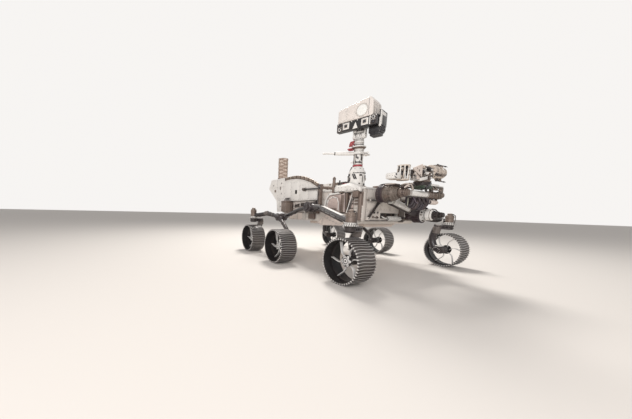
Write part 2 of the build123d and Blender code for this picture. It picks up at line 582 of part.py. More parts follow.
def wheel_hub(station, side):
    """Right-hand hub: lobed flange, barrel, six bowed spokes and the ring inside the skin."""
    ring_r = WHEEL_TIP - GROUSER - SKIN - SEAT_GAP
    reach = ring_r - SPOKE_RING
    lobes = []
    for turn in range(SPOKES):
        for step, radius in ((-10, HUB_R), (10, HUB_R), (22, HUB_NECK_R), (38, HUB_NECK_R)):
            angle = radians(360 * turn / SPOKES + step)
            lobes.append((radius * cos(angle), radius * sin(angle)))
    low = HUB_OUT - HUB_WIDTH
    hub = Pos(0, 0, HUB_OUT - HUB_FLANGE) * extrude(make_face(Polyline(lobes, close=True)), HUB_FLANGE)
    hub += Pos(0, 0, low) * extrude(RegularPolygon(HUB_NECK_R, 2 * SPOKES), HUB_WIDTH - HUB_FLANGE)
    hub -= Pos(0, 0, HUB_OUT - HUB_FLANGE) * extrude(RegularPolygon(HUB_BORE, 12), HUB_FLANGE + 1)
    ring = RegularPolygon(ring_r, WALL_SIDES) - RegularPolygon(reach, WALL_SIDES)
    hub += extrude(ring, SPOKE_RING_WIDTH / 2, both=True)
    run = reach - HUB_NECK_R
    spoke_line = [
        # share of the run, share of the bow, thickness
        (-0.05, 0.0, SPOKE_ROOT), (0.2, 0.62, SPOKE_ROOT), (0.45, 1.0, 0.5 * (SPOKE_ROOT + SPOKE_TIP)),
        (0.7, 0.88, SPOKE_TIP), (0.9, 0.42, SPOKE_TIP), (1.03, 0.0, SPOKE_TIP)]
    spoke = strip([(HUB_NECK_R + share * run, bow * SPOKE_BOW) for share, bow, _ in spoke_line],
                  [thick for _, _, thick in spoke_line])
    spoke = extrude(spoke, SPOKE_WIDTH / 2, both=True)
    for turn in range(SPOKES):
        hub += Rot(0, 0, 360.0 * turn / SPOKES) * spoke
    return Pos(station, -side, AXLE_Z) * Rot(90, 0, 0) * hub


for name, (station, side, hand) in WHEELS.items():
    tread, hub = wheel_tread(station, side), wheel_hub(station, side)
    put(f"wheel_{name}", tread if hand < 0 else other_side(tread))
    put(f"hub_{name}", hub if hand < 0 else other_side(hub))
    if not name.startswith("middle"):
        leg = steering_leg(station, side)
        put(f"leg_{name}", leg if hand < 0 else other_side(leg))

# Mast: foot plate, canister and cone on the deck, tube with its red band, hat and pan drum
mast_foot_plate = block((MAST[0] - MAST_FOOT_HALF, MAST[1] - MAST_FOOT_HALF + 30, DECK_TOP),
                        (MAST[0] + MAST_FOOT_HALF, MAST[1] + MAST_FOOT_HALF, DECK_TOP + MAST_FOOT))
foot = mast_foot_plate + upright(MAST, DECK_TOP + MAST_FOOT, CANISTER_TOP, CANISTER_R)
foot += rod((*MAST, CANISTER_TOP), (*MAST, CONE_TOP), CANISTER_R, MAST_R + 8)
put("mast_foot", foot)
tube = upright(MAST, CONE_TOP, CONE_TOP + BAND, MAST_R + 6)
tube += upright(MAST, CONE_TOP + BAND, HAT_LOW, MAST_R)
tube += rod((*MAST, HAT_LOW), (*MAST, HAT_TOP), MAST_R, HAT_R)
tube += upright(MAST, HAT_TOP, PAN_Z, PAN_R)
put("mast_tube", tube)

# Wind sensor booms on a clamp round the mast, each a thick root and a thin tip
BOOM_Z = 1610.0
BOOM_CLAMP = (16.0, 18.0)                # half height and wall of the clamp
BOOM_ROOT_R = 16.0
BOOM_TIP_R = 9.0
clamp_r = MAST_R + BOOM_CLAMP[1]
booms = extrude(Pos(*MAST, BOOM_Z) * (RegularPolygon(clamp_r, 16) - Circle(MAST_R + SEAT_GAP)),
                BOOM_CLAMP[0], both=True)
for turn, length in ((235.0, 480.0), (75.0, 180.0)):
    way = (cos(radians(turn)), sin(radians(turn)))

    def on_boom(reach):
        return (MAST[0] + way[0] * reach, MAST[1] + way[1] * reach, BOOM_Z)

    booms += slim(on_boom(clamp_r - 8), on_boom(0.66 * length), BOOM_ROOT_R)
    booms += slim(on_boom(0.66 * length), on_boom(length), BOOM_TIP_R)
put("wind_booms", booms)

# Mast head, drawn looking along +X over the mast's axis and then turned
look = Pos(*MAST, 0) * Rot(0, 0, HEAD_TURN)
neck = rod((0, 0, PAN_Z + RUN_GAP), (0, 0, TILT_Z - 32), NECK_R)
neck += rod((0, -TILT_HALF, TILT_Z), (0, TILT_HALF, TILT_Z), TILT_R)
put("mast_neck", look * neck)

# Head box with the deep round window of its long-range camera
HEAD = (-100.0, 140.0)                   # back and front of the head box
HEAD_OUTLINE = [
    # side, height
    (-262, HEAD_MIDDLE), (-262, HEAD_TOP - 72), (-235, HEAD_TOP - 54), (135, HEAD_TOP), (178, HEAD_TOP),
    (214, HEAD_TOP - 54),
    (214, HEAD_MIDDLE)]
HEAD_CHAMFER = 16.0
WINDOW = (75.0, (HEAD_MIDDLE + HEAD_TOP) / 2 - 23.0)  # side and height of the window
WINDOW_R = 58.0
WINDOW_RING = 10.0
WINDOW_DEPTH = 30.0
head = extrude(make_face(Polyline([(HEAD[0], side, height) for side, height in HEAD_OUTLINE], close=True)),
               HEAD[1] - HEAD[0], dir=(1, 0, 0))
head = chamfer(head.faces().sort_by(Axis.X)[-1].edges(), HEAD_CHAMFER)
head += along_x(HEAD[1], HEAD[1] + WINDOW_RING, *WINDOW, WINDOW_R + 10)
head -= along_x(HEAD[1] - WINDOW_DEPTH, HEAD[1] + WINDOW_RING + 1, *WINDOW, WINDOW_R)
put("head_box", look * head)

# Camera bar: two square cameras, a pair of small lenses at each end, lugs down to the tilt axis
BAR = (50.0, 130.0, 275.0)               # back, front and half length
BAR_TOP = HEAD_MIDDLE - SEAT_GAP
LENS_Z = HEAD_BOTTOM + 58.0
bar = block((BAR[0], -BAR[2], HEAD_BOTTOM), (BAR[1], BAR[2], BAR_TOP))
bar += block((-60, -TILT_HALF - TILT_LUG, HEAD_BOTTOM + 25), (BAR[0], TILT_HALF + TILT_LUG, BAR_TOP))
for side in (-1, 1):
    low, high = sorted((side * (TILT_HALF + RUN_GAP), side * (TILT_HALF + TILT_LUG)))
    bar += rod((0, low, TILT_Z), (0, high, TILT_Z), TILT_R - 4)
    bar += block((-30, low, TILT_Z), (30, high, HEAD_BOTTOM + 26))
for station in (-135.0, 120.0):
    bar += block((BAR[1] - 1, station - 46, LENS_Z - 42), (BAR[1] + 12, station + 46, LENS_Z + 42))
    bar += along_x(BAR[1] + 12, BAR[1] + 24, station, LENS_Z, 24)
for station in (-228.0, 228.0):
    for rise in (-28.0, 26.0):
        place = (station, LENS_Z + rise)
        bar += slim((BAR[1] - 1, *place), (BAR[1] + 16, *place), 18, 12)
put("camera_bar", look * bar)
side_box = block((-95, 132, HEAD_BOTTOM - 109), (BAR[0] - SEAT_GAP, 292, HEAD_MIDDLE - 28))
side_box = chamfer(side_box.edges().filter_by(Axis.X), 26)
side_box += block((-95, 277, HEAD_BOTTOM - 5), (90, 303, HEAD_MIDDLE + 58))
put("head_side_box", look * side_box)

# Shoulder: the drum that turns between the lugs, with the flange for the elevation drum
SHOULDER_FLANGE_R = 60.0
CABLE_BOX = (18.0, 80.0)  # sides of the cable box on the drum, from the azimuth axis
drum = upright(SHOULDER, SHOULDER_LOW + RUN_GAP, SHOULDER_HIGH - RUN_GAP, SHOULDER_R)
drum += along_x(SHOULDER[0], DRUM_BACK - RUN_GAP, SHOULDER[1], ELEVATION_Z, SHOULDER_FLANGE_R)
drum += block((SHOULDER[0] + LUG_R + 8, SHOULDER[1] + CABLE_BOX[0], ELEVATION_Z + DRUM_R + 8),
              (SHOULDER[0] + 166, SHOULDER[1] + CABLE_BOX[1], SHOULDER_HIGH + 70))
drum += block((SHOULDER[0], SHOULDER[1] + CABLE_BOX[0], ELEVATION_Z + DRUM_R + 8),
              (SHOULDER[0] + LUG_R + 9, SHOULDER[1] + SHOULDER_R - 20, SHOULDER_HIGH - RUN_GAP))
put("shoulder_drum", drum)


def ribbed_drum(x0, x1, side, height):
    """An actuator drum with a raised rim at each edge."""
    drum = along_x(x0, x1, side, height, DRUM_R - 6)
    for low in (x0, x1 - DRUM_RIM):
        drum += slim((low, side, height), (low + DRUM_RIM, side, height), DRUM_R, DRUM_SIDES)
    return drum


# Upper arm: elevation drum with its motor, the tube, and the elbow drum with its housing
SHOULDER_AXIS = (SHOULDER[1], ELEVATION_Z)
elevation = ribbed_drum(DRUM_BACK, DRUM_FRONT, *SHOULDER_AXIS)
elevation += along_x(DRUM_FRONT, MOTOR_BACK, *SHOULDER_AXIS, ACTUATOR_R)
elevation += along_x(MOTOR_BACK, MOTOR_TIP, *SHOULDER_AXIS, 48)
put("elevation_drum", elevation)
elbow = ribbed_drum(ELBOW_BACK, ELBOW_BACK + 84, *ELBOW)
elbow += slim((ELBOW_BACK + 84, *ELBOW), (ELBOW_SHOULDER, *ELBOW), DRUM_R - 14, DRUM_SIDES)
elbow += along_x(ELBOW_SHOULDER, ELBOW_SPLIT, *ELBOW, DRUM_R - 18, 66)
put("elbow_drum", elbow)
arm_foot = (DRUM_BACK + DRUM_FRONT) / 2
upper = rod((arm_foot, *SHOULDER_AXIS), (ELBOW_BACK + 50, ELBOW[0] + 30, ELBOW[1] - 55), UPPER_ARM_R)
upper -= along_x(DRUM_BACK - 60, DRUM_FRONT + 60, *SHOULDER_AXIS, DRUM_R + SEAT_GAP)
upper -= along_x(ELBOW_BACK - 60, ELBOW_SHOULDER, *ELBOW, DRUM_R + SEAT_GAP)
put("upper_arm", upper)

# Forearm: elbow cap, tube, wrist housing
fore = along_x(ELBOW_SPLIT + RUN_GAP, ELBOW_TIP, *ELBOW, 56)
fore += slim((FOREARM_X, *ELBOW), (FOREARM_X, FOREARM_SPLIT + 1, WRIST[1]), FOREARM_R, DRUM_SIDES)
fore += slim((FOREARM_X, FOREARM_SPLIT, WRIST[1]), (FOREARM_X, WRIST[0] + 55, WRIST[1]), WRIST_BODY_R, DRUM_SIDES)
fore += along_x(*HOUSING, *WRIST, HOUSING_R)
put("forearm", fore)

# Wrist bracket: two cheeks outside the housing, joined above it by the turret's bearing
WRIST_TOP = TURRET_BASE - RUN_GAP
WRIST_SEAT = TURRET_BASE - 80.0
wrist = block((HOUSING[0] - RUN_GAP - CHEEK, TURRET[1] - 30, WRIST_SEAT + 35),
              (HOUSING[1] + RUN_GAP + CHEEK, WRIST[0] + 45, WRIST_TOP - 16))
for x0 in (HOUSING[0] - RUN_GAP - CHEEK, HOUSING[1] + RUN_GAP):
    wrist += along_x(x0, x0 + CHEEK, *WRIST, 48)
    wrist += block((x0, WRIST[0] - 45, WRIST[1]), (x0 + CHEEK, WRIST[0] + 45, WRIST_SEAT + 36))
wrist += along_x(HOUSING[1] + RUN_GAP + CHEEK, HOUSING[1] + 50, *WRIST, 34)
wrist += upright(TURRET, WRIST_SEAT, WRIST_TOP, TURRET_R)
put("wrist_bracket", wrist)

# Turret: core drum with a spine to both sides, a brush drum on the right and a plate over it
tx, ty = TURRET
SPINE_Z = (TURRET_BASE + 62.0, TURRET_BASE + 150.0)
BRUSH_DRUM = (ty - 400.0, 66.0)          # side and radius of the brush drum
core = upright(TURRET, TURRET_BASE, TURRET_BASE + 110, TURRET_R)
core += block((tx - 60, BRUSH_DRUM[0], SPINE_Z[0]), (tx + 60, ty + 131, SPINE_Z[1]))
core += slim((tx, BRUSH_DRUM[0], TURRET_BASE - 8), (tx, BRUSH_DRUM[0], TURRET_BASE + 158), BRUSH_DRUM[1], 16)
gusset = [(ty - 335, TURRET_BASE + 130), (ty - 160, TURRET_BASE + 190), (ty - 150, TURRET_BASE + 20),
          (ty - 230, TURRET_BASE + 12)]
core += extrude(make_face(Polyline([(tx + 59, y, z) for y, z in gusset], close=True)), 16, dir=(1, 0, 0))
put("turret_core", core)

# Drill: barrel, nose and two prongs beside it
DRILL_Z = TURRET_BASE + 148.0
DRILL_R = 78.0
drill_y = ty + 131 + SEAT_GAP
drill = rod((tx, drill_y, DRILL_Z), (tx, drill_y + 330, DRILL_Z), DRILL_R)
drill += rod((tx, drill_y + 330, DRILL_Z), (tx, drill_y + 380, DRILL_Z), DRILL_R, 34)
drill += slim((tx, drill_y + 380, DRILL_Z), (tx, drill_y + 425, DRILL_Z), 16)
for side in (-1, 1):
    near, prong = DRILL_Z + side * (DRILL_R - 8), DRILL_Z + side * (DRILL_R + 20)
    drill += block((tx - 9, drill_y + 190, min(near, prong)), (tx + 9, drill_y + 215, max(near, prong)))
    drill += slim((tx, drill_y + 180, prong), (tx, drill_y + 440, prong), 10)
put("drill", drill)

# Sensor head: a white box at the turret's right end, on its stalk
SENSOR_SIDES = (ty - 628.0, ty - 505.0)
sensor = block((tx - 70, SENSOR_SIDES[0], TURRET_BASE - 12), (tx + 50, SENSOR_SIDES[1], TURRET_BASE + 60))
sensor = chamfer(sensor.edges().filter_by(Axis.Y), 14)
sensor += block((tx - 30, SENSOR_SIDES[1] - 1, TURRET_BASE + 10),
                (tx + 30, BRUSH_DRUM[0] - BRUSH_DRUM[1] - SEAT_GAP, TURRET_BASE + 44))
put("turret_sensor", sensor)
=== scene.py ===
from math import cos, pi, radians, sin, tau

import bmesh
import bpy
from mathutils import Matrix, Vector, noise


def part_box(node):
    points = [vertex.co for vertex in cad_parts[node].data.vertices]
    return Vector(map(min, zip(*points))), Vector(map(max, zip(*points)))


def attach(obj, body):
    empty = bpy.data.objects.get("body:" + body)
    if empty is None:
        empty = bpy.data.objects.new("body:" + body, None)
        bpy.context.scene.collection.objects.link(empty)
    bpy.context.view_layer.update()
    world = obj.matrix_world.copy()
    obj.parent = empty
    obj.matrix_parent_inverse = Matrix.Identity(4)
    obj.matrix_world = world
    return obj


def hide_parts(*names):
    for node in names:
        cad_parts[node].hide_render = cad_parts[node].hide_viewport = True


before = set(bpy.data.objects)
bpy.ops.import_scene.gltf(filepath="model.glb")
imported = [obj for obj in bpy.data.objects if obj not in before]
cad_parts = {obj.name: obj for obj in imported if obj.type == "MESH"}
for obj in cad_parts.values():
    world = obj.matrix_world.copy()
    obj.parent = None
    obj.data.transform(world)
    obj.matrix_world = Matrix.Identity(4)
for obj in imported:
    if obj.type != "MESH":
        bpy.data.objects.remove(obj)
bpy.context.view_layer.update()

# Photographer's camera
# A very wide lens held low, ahead of the rover and off its right side. The photo is a crop from a
# wider picture, so the lens is shifted. The values come from a fit to the six wheels.
PHOTO_WIDTH = 632
PHOTO_HEIGHT = 419
SENSOR = 36.0
FOCAL_PIXELS = 231.645
AIM_PIXEL = (262.66, 240.58)
MIDDLE_AXLE_X = (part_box("hub_middle_right")[0][0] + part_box("hub_middle_right")[1][0]) / 2
EYE = Vector((MIDDLE_AXLE_X + 3.0333, -3.2219, 0.7931))
YAW, PITCH, ROLL = 1.0637, -0.1254, 0.0257

ahead = Vector((-sin(YAW) * cos(PITCH), cos(YAW) * cos(PITCH), sin(PITCH)))
level = Vector((cos(YAW), sin(YAW), 0.0))
upward = level.cross(ahead)
camera_right = cos(ROLL) * level + sin(ROLL) * upward
camera_up = -sin(ROLL) * level + cos(ROLL) * upward
lens = bpy.data.cameras.new("photo_camera")
lens.sensor_width = SENSOR
lens.lens = SENSOR * FOCAL_PIXELS / PHOTO_WIDTH
lens.shift_x = (PHOTO_WIDTH / 2 - AIM_PIXEL[0]) / PHOTO_WIDTH
lens.shift_y = (AIM_PIXEL[1] - PHOTO_HEIGHT / 2) / PHOTO_WIDTH
camera = bpy.data.objects.new("photo_camera", lens)
camera.matrix_world = Matrix.Translation(EYE) @ Matrix(
    (camera_right, camera_up, -ahead)).transposed().to_4x4()
bpy.context.collection.objects.link(camera)
bpy.context.scene.camera = camera
bpy.context.scene.view_settings.view_transform = "Standard"

# Floor, backdrop and lamps
# A plain pale floor that runs far out, a pale world behind it, and broad lamps: the sun of the
# photo stands high behind the rover's left shoulder, and a wide soft lamp fills the near side.
FLOOR_REACH = 60.0
FLOOR_COLOUR = (0.80, 0.76, 0.72, 1)
AMBIENT_COLOUR = (0.95, 0.93, 0.92, 1)
AMBIENT_LIGHT = 0.40
BACKDROP_COLOUR = (0.93, 0.91, 0.89, 1)
floor_mesh = bmesh.new()
bmesh.ops.create_grid(floor_mesh, x_segments=1, y_segments=1, size=FLOOR_REACH)
floor_data = bpy.data.meshes.new("floor")
floor_mesh.to_mesh(floor_data)
floor = bpy.data.objects.new("floor", floor_data)
bpy.context.collection.objects.link(floor)
floor_paint = bpy.data.materials.new("floor_paint")
floor_paint.use_nodes = True
floor_shader = floor_paint.node_tree.nodes["Principled BSDF"]
floor_shader.inputs["Base Color"].default_value = FLOOR_COLOUR
floor_shader.inputs["Roughness"].default_value = 0.9
floor_data.materials.append(floor_paint)
world = bpy.data.worlds.new("studio")
world.use_nodes = True
sky = world.node_tree
ambient = sky.nodes["Background"]
ambient.inputs["Color"].default_value = AMBIENT_COLOUR
ambient.inputs["Strength"].default_value = AMBIENT_LIGHT
backdrop = sky.nodes.new("ShaderNodeBackground")
backdrop.inputs["Color"].default_value = BACKDROP_COLOUR
backdrop.inputs["Strength"].default_value = 1.0
rays = sky.nodes.new("ShaderNodeLightPath")
seen = rays.outputs["Is Camera Ray"]
for other in ("Is Glossy Ray", "Is Transmission Ray"):
    either = sky.nodes.new("ShaderNodeMath")
    either.operation = "MAXIMUM"
    sky.links.new(seen, either.inputs[0])
    sky.links.new(rays.outputs[other], either.inputs[1])
    seen = either.outputs[0]
chosen = sky.nodes.new("ShaderNodeMixShader")
sky.links.new(seen, chosen.inputs[0])
sky.links.new(ambient.outputs[0], chosen.inputs[1])
sky.links.new(backdrop.outputs[0], chosen.inputs[2])
sky.links.new(chosen.outputs[0], sky.nodes["World Output"].inputs["Surface"])
bpy.context.scene.world = world
for lamp, place, target, size, power, colour in (
        ("key_lamp", (-3.0, 1.5, 7.0), (0.2, 0, 0.8), 2.0, 520, (1.0, 0.97, 0.93)),
        ("fill_lamp", (5.0, -6.5, 3.5), (0.2, -0.4, 0.9), 5.0, 330, (1.0, 0.97, 0.95))):
    light = bpy.data.lights.new(lamp, "AREA")
    light.shape = "SQUARE"
    light.size = size
    light.energy = power
    light.color = colour
    stand = bpy.data.objects.new(lamp, light)
    way = Vector(target) - Vector(place)
    stand.matrix_world = Matrix.Translation(place) @ way.to_track_quat("-Z", "Y").to_matrix().to_4x4()
    bpy.context.collection.objects.link(stand)

# Wheels
# A machined aluminium skin with 48 gently waved grousers, a thin rim lip at each edge, and an inside
# painted near-black as shade. One pitch of the tread is extruded across and spun round; tips and rims are
# painted bright, partly for wear and partly as painted highlights.
WHEEL_TIP = 262.5
GROUSER = 12.0
GROUSERS = 48
SKIN = 5.0
LIP = 9.0
LIP_WIDTH = 0.006
WHEEL_HALF = 0.140
TREAD_STEPS = 14
TREAD_WAVE = 1.1
AXLE_HEIGHT = 262.5
FRONT_AXLE, REAR_AXLE = 1250, -1150
CORNER_TRACK, MIDDLE_TRACK = 1120, 1220
WHEELS = {
    # name: station, distance from the middle plane, side
    "front_right": (FRONT_AXLE, CORNER_TRACK, -1),
    "front_left": (FRONT_AXLE, CORNER_TRACK, 1),
    "middle_right": (0, MIDDLE_TRACK, -1),
    "middle_left": (0, MIDDLE_TRACK, 1),
    "rear_right": (REAR_AXLE, CORNER_TRACK, -1),
    "rear_left": (REAR_AXLE, CORNER_TRACK, 1),
}


def at(station, side, height):
    """A place in metres, from millimetres: station from the middle axle, side, height."""
    return Vector((MIDDLE_AXLE_X + station / 1000, side / 1000, height / 1000))


def node(tree, kind, feeds=None, **settings):
    """Adds a shader node, with its settings and with values or links for its inputs."""
    made = tree.nodes.new("ShaderNode" + kind)
    for name, value in settings.items():
        setattr(made, name, value)
    for name, value in (feeds or {}).items():
        if isinstance(value, bpy.types.NodeSocket):
            tree.links.new(value, made.inputs[name])
        else:
            made.inputs[name].default_value = value
    return made


def math_node(tree, operation, first, second=0.0, third=0.0, clamp=False):
    """Output of a Math node."""
    return node(tree, "Math", {0: first, 1: second, 2: third}, operation=operation,
        use_clamp=clamp).outputs[0]


def blend_colours(tree, share, first, second, mode="MIX"):
    """Output of a colour Mix node."""
    return node(tree, "Mix", {0: share, 6: first, 7: second}, data_type="RGBA", blend_type=mode).outputs[2]


def new_group(name, inputs, outputs):
    """An empty shader node group with named inputs and outputs, and its two end nodes."""
    tree = bpy.data.node_groups.new(name, "ShaderNodeTree")
    for label, value in inputs.items():
        kind = "NodeSocketColor" if isinstance(value, tuple) else "NodeSocketFloat"
        tree.interface.new_socket(label, in_out="INPUT", socket_type=kind).default_value = value
    for label, kind in outputs.items():
        tree.interface.new_socket(label, in_out="OUTPUT", socket_type=kind)
    return tree, tree.nodes.new("NodeGroupInput"), tree.nodes.new("NodeGroupOutput")


# Dust and painted shade for every finish: fine dust that settles in patches and on upward faces, painted
# shade that darkens corners and crevices towards near-black, and a slow drift of the paint's own tone.
dust_and_shade_group, dust_and_shade_in, dust_and_shade_out = new_group("dust_and_painted_shade", {
    "Colour": (0.8, 0.8, 0.8, 1), "Dust Colour": (0.50, 0.40, 0.33, 1), "Dust": 0.3, "Painted Shade": 0.6,
    "Grain": 60.0,
}, {"Colour": "NodeSocketColor", "Dust Mask": "NodeSocketFloat"})
weather_place = node(dust_and_shade_group, "TexCoord").outputs["Object"]
drift = node(dust_and_shade_group, "TexNoise", {"Vector": weather_place, "Scale": 5.0, "Detail": 4.0}).outputs["Fac"]
speck = node(dust_and_shade_group, "TexNoise", {
    "Vector": weather_place, "Scale": dust_and_shade_in.outputs["Grain"], "Detail": 5.0,
    "Roughness": 0.7}).outputs["Fac"]
facing = node(dust_and_shade_group, "SeparateXYZ", {0: node(dust_and_shade_group, "NewGeometry").outputs["Normal"]}).outputs["Z"]
lying = math_node(dust_and_shade_group, "MULTIPLY_ADD", facing, 0.5, 0.5)
patches = math_node(dust_and_shade_group, "MULTIPLY", math_node(dust_and_shade_group, "SUBTRACT", drift, 0.3, clamp=True), 1.2,
    clamp=True)
settled = math_node(dust_and_shade_group, "MULTIPLY", patches, math_node(dust_and_shade_group, "ADD", lying, speck))
dust_mask = math_node(dust_and_shade_group, "MULTIPLY", settled, dust_and_shade_in.outputs["Dust"], clamp=True)
# Painted shade: where ambient occlusion finds a corner or crevice, the colour is darkened towards
# near-black.
corners = node(dust_and_shade_group, "AmbientOcclusion", {"Distance": 0.035}, samples=6, only_local=False).outputs["AO"]
shut = math_node(dust_and_shade_group, "SUBTRACT", 1.0, corners, clamp=True)
painted_shade_mask = math_node(dust_and_shade_group, "MULTIPLY", shut, dust_and_shade_in.outputs["Painted Shade"], clamp=True)
deeper = blend_colours(dust_and_shade_group, 1.0, dust_and_shade_in.outputs["Colour"], (0.72, 0.70, 0.70, 1), "MULTIPLY")
toned = blend_colours(dust_and_shade_group, math_node(dust_and_shade_group, "MULTIPLY", speck, 0.12), dust_and_shade_in.outputs["Colour"],
    deeper)
dusted = blend_colours(dust_and_shade_group, dust_mask, toned, dust_and_shade_in.outputs["Dust Colour"])
painted_shade_colour = blend_colours(dust_and_shade_group, painted_shade_mask, dusted, (0.035, 0.022, 0.022, 1))
dust_and_shade_group.links.new(painted_shade_colour, dust_and_shade_out.inputs["Colour"])
dust_and_shade_group.links.new(dust_mask, dust_and_shade_out.inputs["Dust Mask"])

# Worn and highlit edges: a mask of the outer edges, broken up by grain, for a paler colour that stands
# partly for wear where handling and grit polish a finish and partly for painted highlights along the edges.
wear_and_highlight, wear_and_highlight_in, wear_and_highlight_out = new_group(
    "worn_and_highlit_edges", {"Width": 0.004, "Strength": 1.0, "Break Up": 90.0}, {"Mask": "NodeSocketFloat"})
rounded = node(wear_and_highlight, "Bevel", {"Radius": wear_and_highlight_in.outputs["Width"]}, samples=4).outputs["Normal"]
sameness = node(wear_and_highlight, "VectorMath", {
    0: rounded, 1: node(wear_and_highlight, "NewGeometry").outputs["Normal"]}, operation="DOT_PRODUCT").outputs["Value"]
turned_off = math_node(wear_and_highlight, "MULTIPLY", math_node(wear_and_highlight, "SUBTRACT", 0.995, sameness, clamp=True), 9.0,
    clamp=True)
break_up_noise = node(wear_and_highlight, "TexNoise", {
    "Vector": node(wear_and_highlight, "TexCoord").outputs["Object"], "Scale": wear_and_highlight_in.outputs["Break Up"], "Detail": 3.0})
broken = math_node(wear_and_highlight, "MULTIPLY", turned_off, math_node(wear_and_highlight, "MULTIPLY", break_up_noise.outputs["Fac"], 1.7))
wear_and_highlight.links.new(math_node(wear_and_highlight, "MULTIPLY", broken, wear_and_highlight_in.outputs["Strength"], clamp=True),
    wear_and_highlight_out.inputs["Mask"])


def finish(name, colour, rough=0.5, metal=0.0, dust=0.3, painted_shade=0.6, grain=60.0, wear_and_highlight_colour=None, wear_and_highlight_width=0.004,
           relief=0.15, relief_scale=220.0, coat=0.0, pattern=None):
    """A paint or metal: its own colour or pattern, with dust and painted shade in its corners, paler edges
    that are partly wear and partly painted highlight, and a fine relief.
    """
    material = bpy.data.materials.new(name)
    material.use_nodes = True
    tree = material.node_tree
    shader = tree.nodes["Principled BSDF"]
    place = node(tree, "TexCoord").outputs["Object"]
    base, height = pattern(tree, place) if pattern else ((*colour, 1), None)
    dust_and_shade_node = tree.nodes.new("ShaderNodeGroup")
    dust_and_shade_node.node_tree = dust_and_shade_group
    for label, value in (("Dust", dust), ("Painted Shade", painted_shade), ("Grain", grain)):
        dust_and_shade_node.inputs[label].default_value = value
    if pattern:
        tree.links.new(base, dust_and_shade_node.inputs["Colour"])
    else:
        dust_and_shade_node.inputs["Colour"].default_value = base
    shade = dust_and_shade_node.outputs["Colour"]
    gloss = math_node(tree, "MULTIPLY_ADD", dust_and_shade_node.outputs["Dust Mask"], 0.35, rough)
    # Painted highlight, partly wear: a paler colour along the edges.
    if wear_and_highlight_colour:
        edges = tree.nodes.new("ShaderNodeGroup")
        edges.node_tree = wear_and_highlight
        edges.inputs["Width"].default_value = wear_and_highlight_width
        shade = blend_colours(tree, edges.outputs["Mask"], shade, (*wear_and_highlight_colour, 1))
    tree.links.new(shade, shader.inputs["Base Color"])
    tree.links.new(gloss, shader.inputs["Roughness"])
    shader.inputs["Metallic"].default_value = metal
    shader.inputs["Coat Weight"].default_value = coat
    grainy = node(tree, "TexNoise", {"Vector": place, "Scale": relief_scale, "Detail": 6.0}).outputs["Fac"]
    if height is not None:
        grainy = math_node(tree, "ADD", math_node(tree, "MULTIPLY", grainy, 0.35), height)
    bump = node(tree, "Bump", {"Height": grainy, "Strength": relief, "Distance": 0.002})
    tree.links.new(bump.outputs["Normal"], shader.inputs["Normal"])
    return material


SKIN_FINISH, TIP_FINISH, RIM_FINISH, INSIDE_SHADE_FINISH = range(4)
skin_metal = finish("tread_skin", (0.085, 0.082, 0.084), 0.42, 0.45, dust=0.35, painted_shade=0.9,
                    wear_and_highlight_colour=(0.34, 0.33, 0.33), wear_and_highlight_width=0.003)
# Tips and rims bright, partly wear and partly painted highlight; the lining near-black, painted shade inside
# the wheel.
tip_metal = finish("grouser_tips", (0.50, 0.49, 0.48), 0.40, 0.5, dust=0.3, painted_shade=0.3)
rim_metal = finish("rim_edges", (0.74, 0.73, 0.72), 0.32, 0.5, dust=0.15, painted_shade=0.4)
inside_shade_metal = finish("wheel_inside_shade", (0.008, 0.008, 0.010), 0.5, 0.2, dust=0.06, painted_shade=0.5)


def settle(shape, part, place=Matrix(), look=0):
    """Adds a part to a larger shape at its place, faces outward, in one of the shape's finishes."""
    bmesh.ops.transform(part, matrix=place, verts=part.verts)
    bmesh.ops.recalc_face_normals(part, faces=part.faces)
    if look is not None:
        for face in part.faces:
            face.material_index = look
    holder = bpy.data.meshes.new("holder")
    part.to_mesh(holder)
    part.free()
    shape.from_mesh(holder)
    bpy.data.meshes.remove(holder)


def piece(name, shape, body, finishes, stands_for=(), sharp=32.0):
    """Makes the object from a finished shape, gives it its finishes, ties it to its body and hides the CAD
    parts that it stands for.
    """
    mesh = bpy.data.meshes.new(name)
    shape.to_mesh(mesh)
    shape.free()
    for look in finishes:
        mesh.materials.append(look)
    mesh.shade_smooth()
    mesh.set_sharp_from_angle(angle=radians(sharp))
    made = bpy.data.objects.new(name, mesh)
    bpy.context.collection.objects.link(made)
    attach(made, body)
    if stands_for:
        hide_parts(*stands_for)


def chain(part, points):
    """A line of vertices joined by edges."""
    verts = [part.verts.new(point) for point in points]
    return verts, [part.edges.new(pair) for pair in zip(verts, verts[1:])]


def wheel_point(radius, turn, side):
    """A point on the wheel, at a turn in degrees from its top."""
    return radius / 1000 * sin(radians(turn)), side, radius / 1000 * cos(radians(turn))


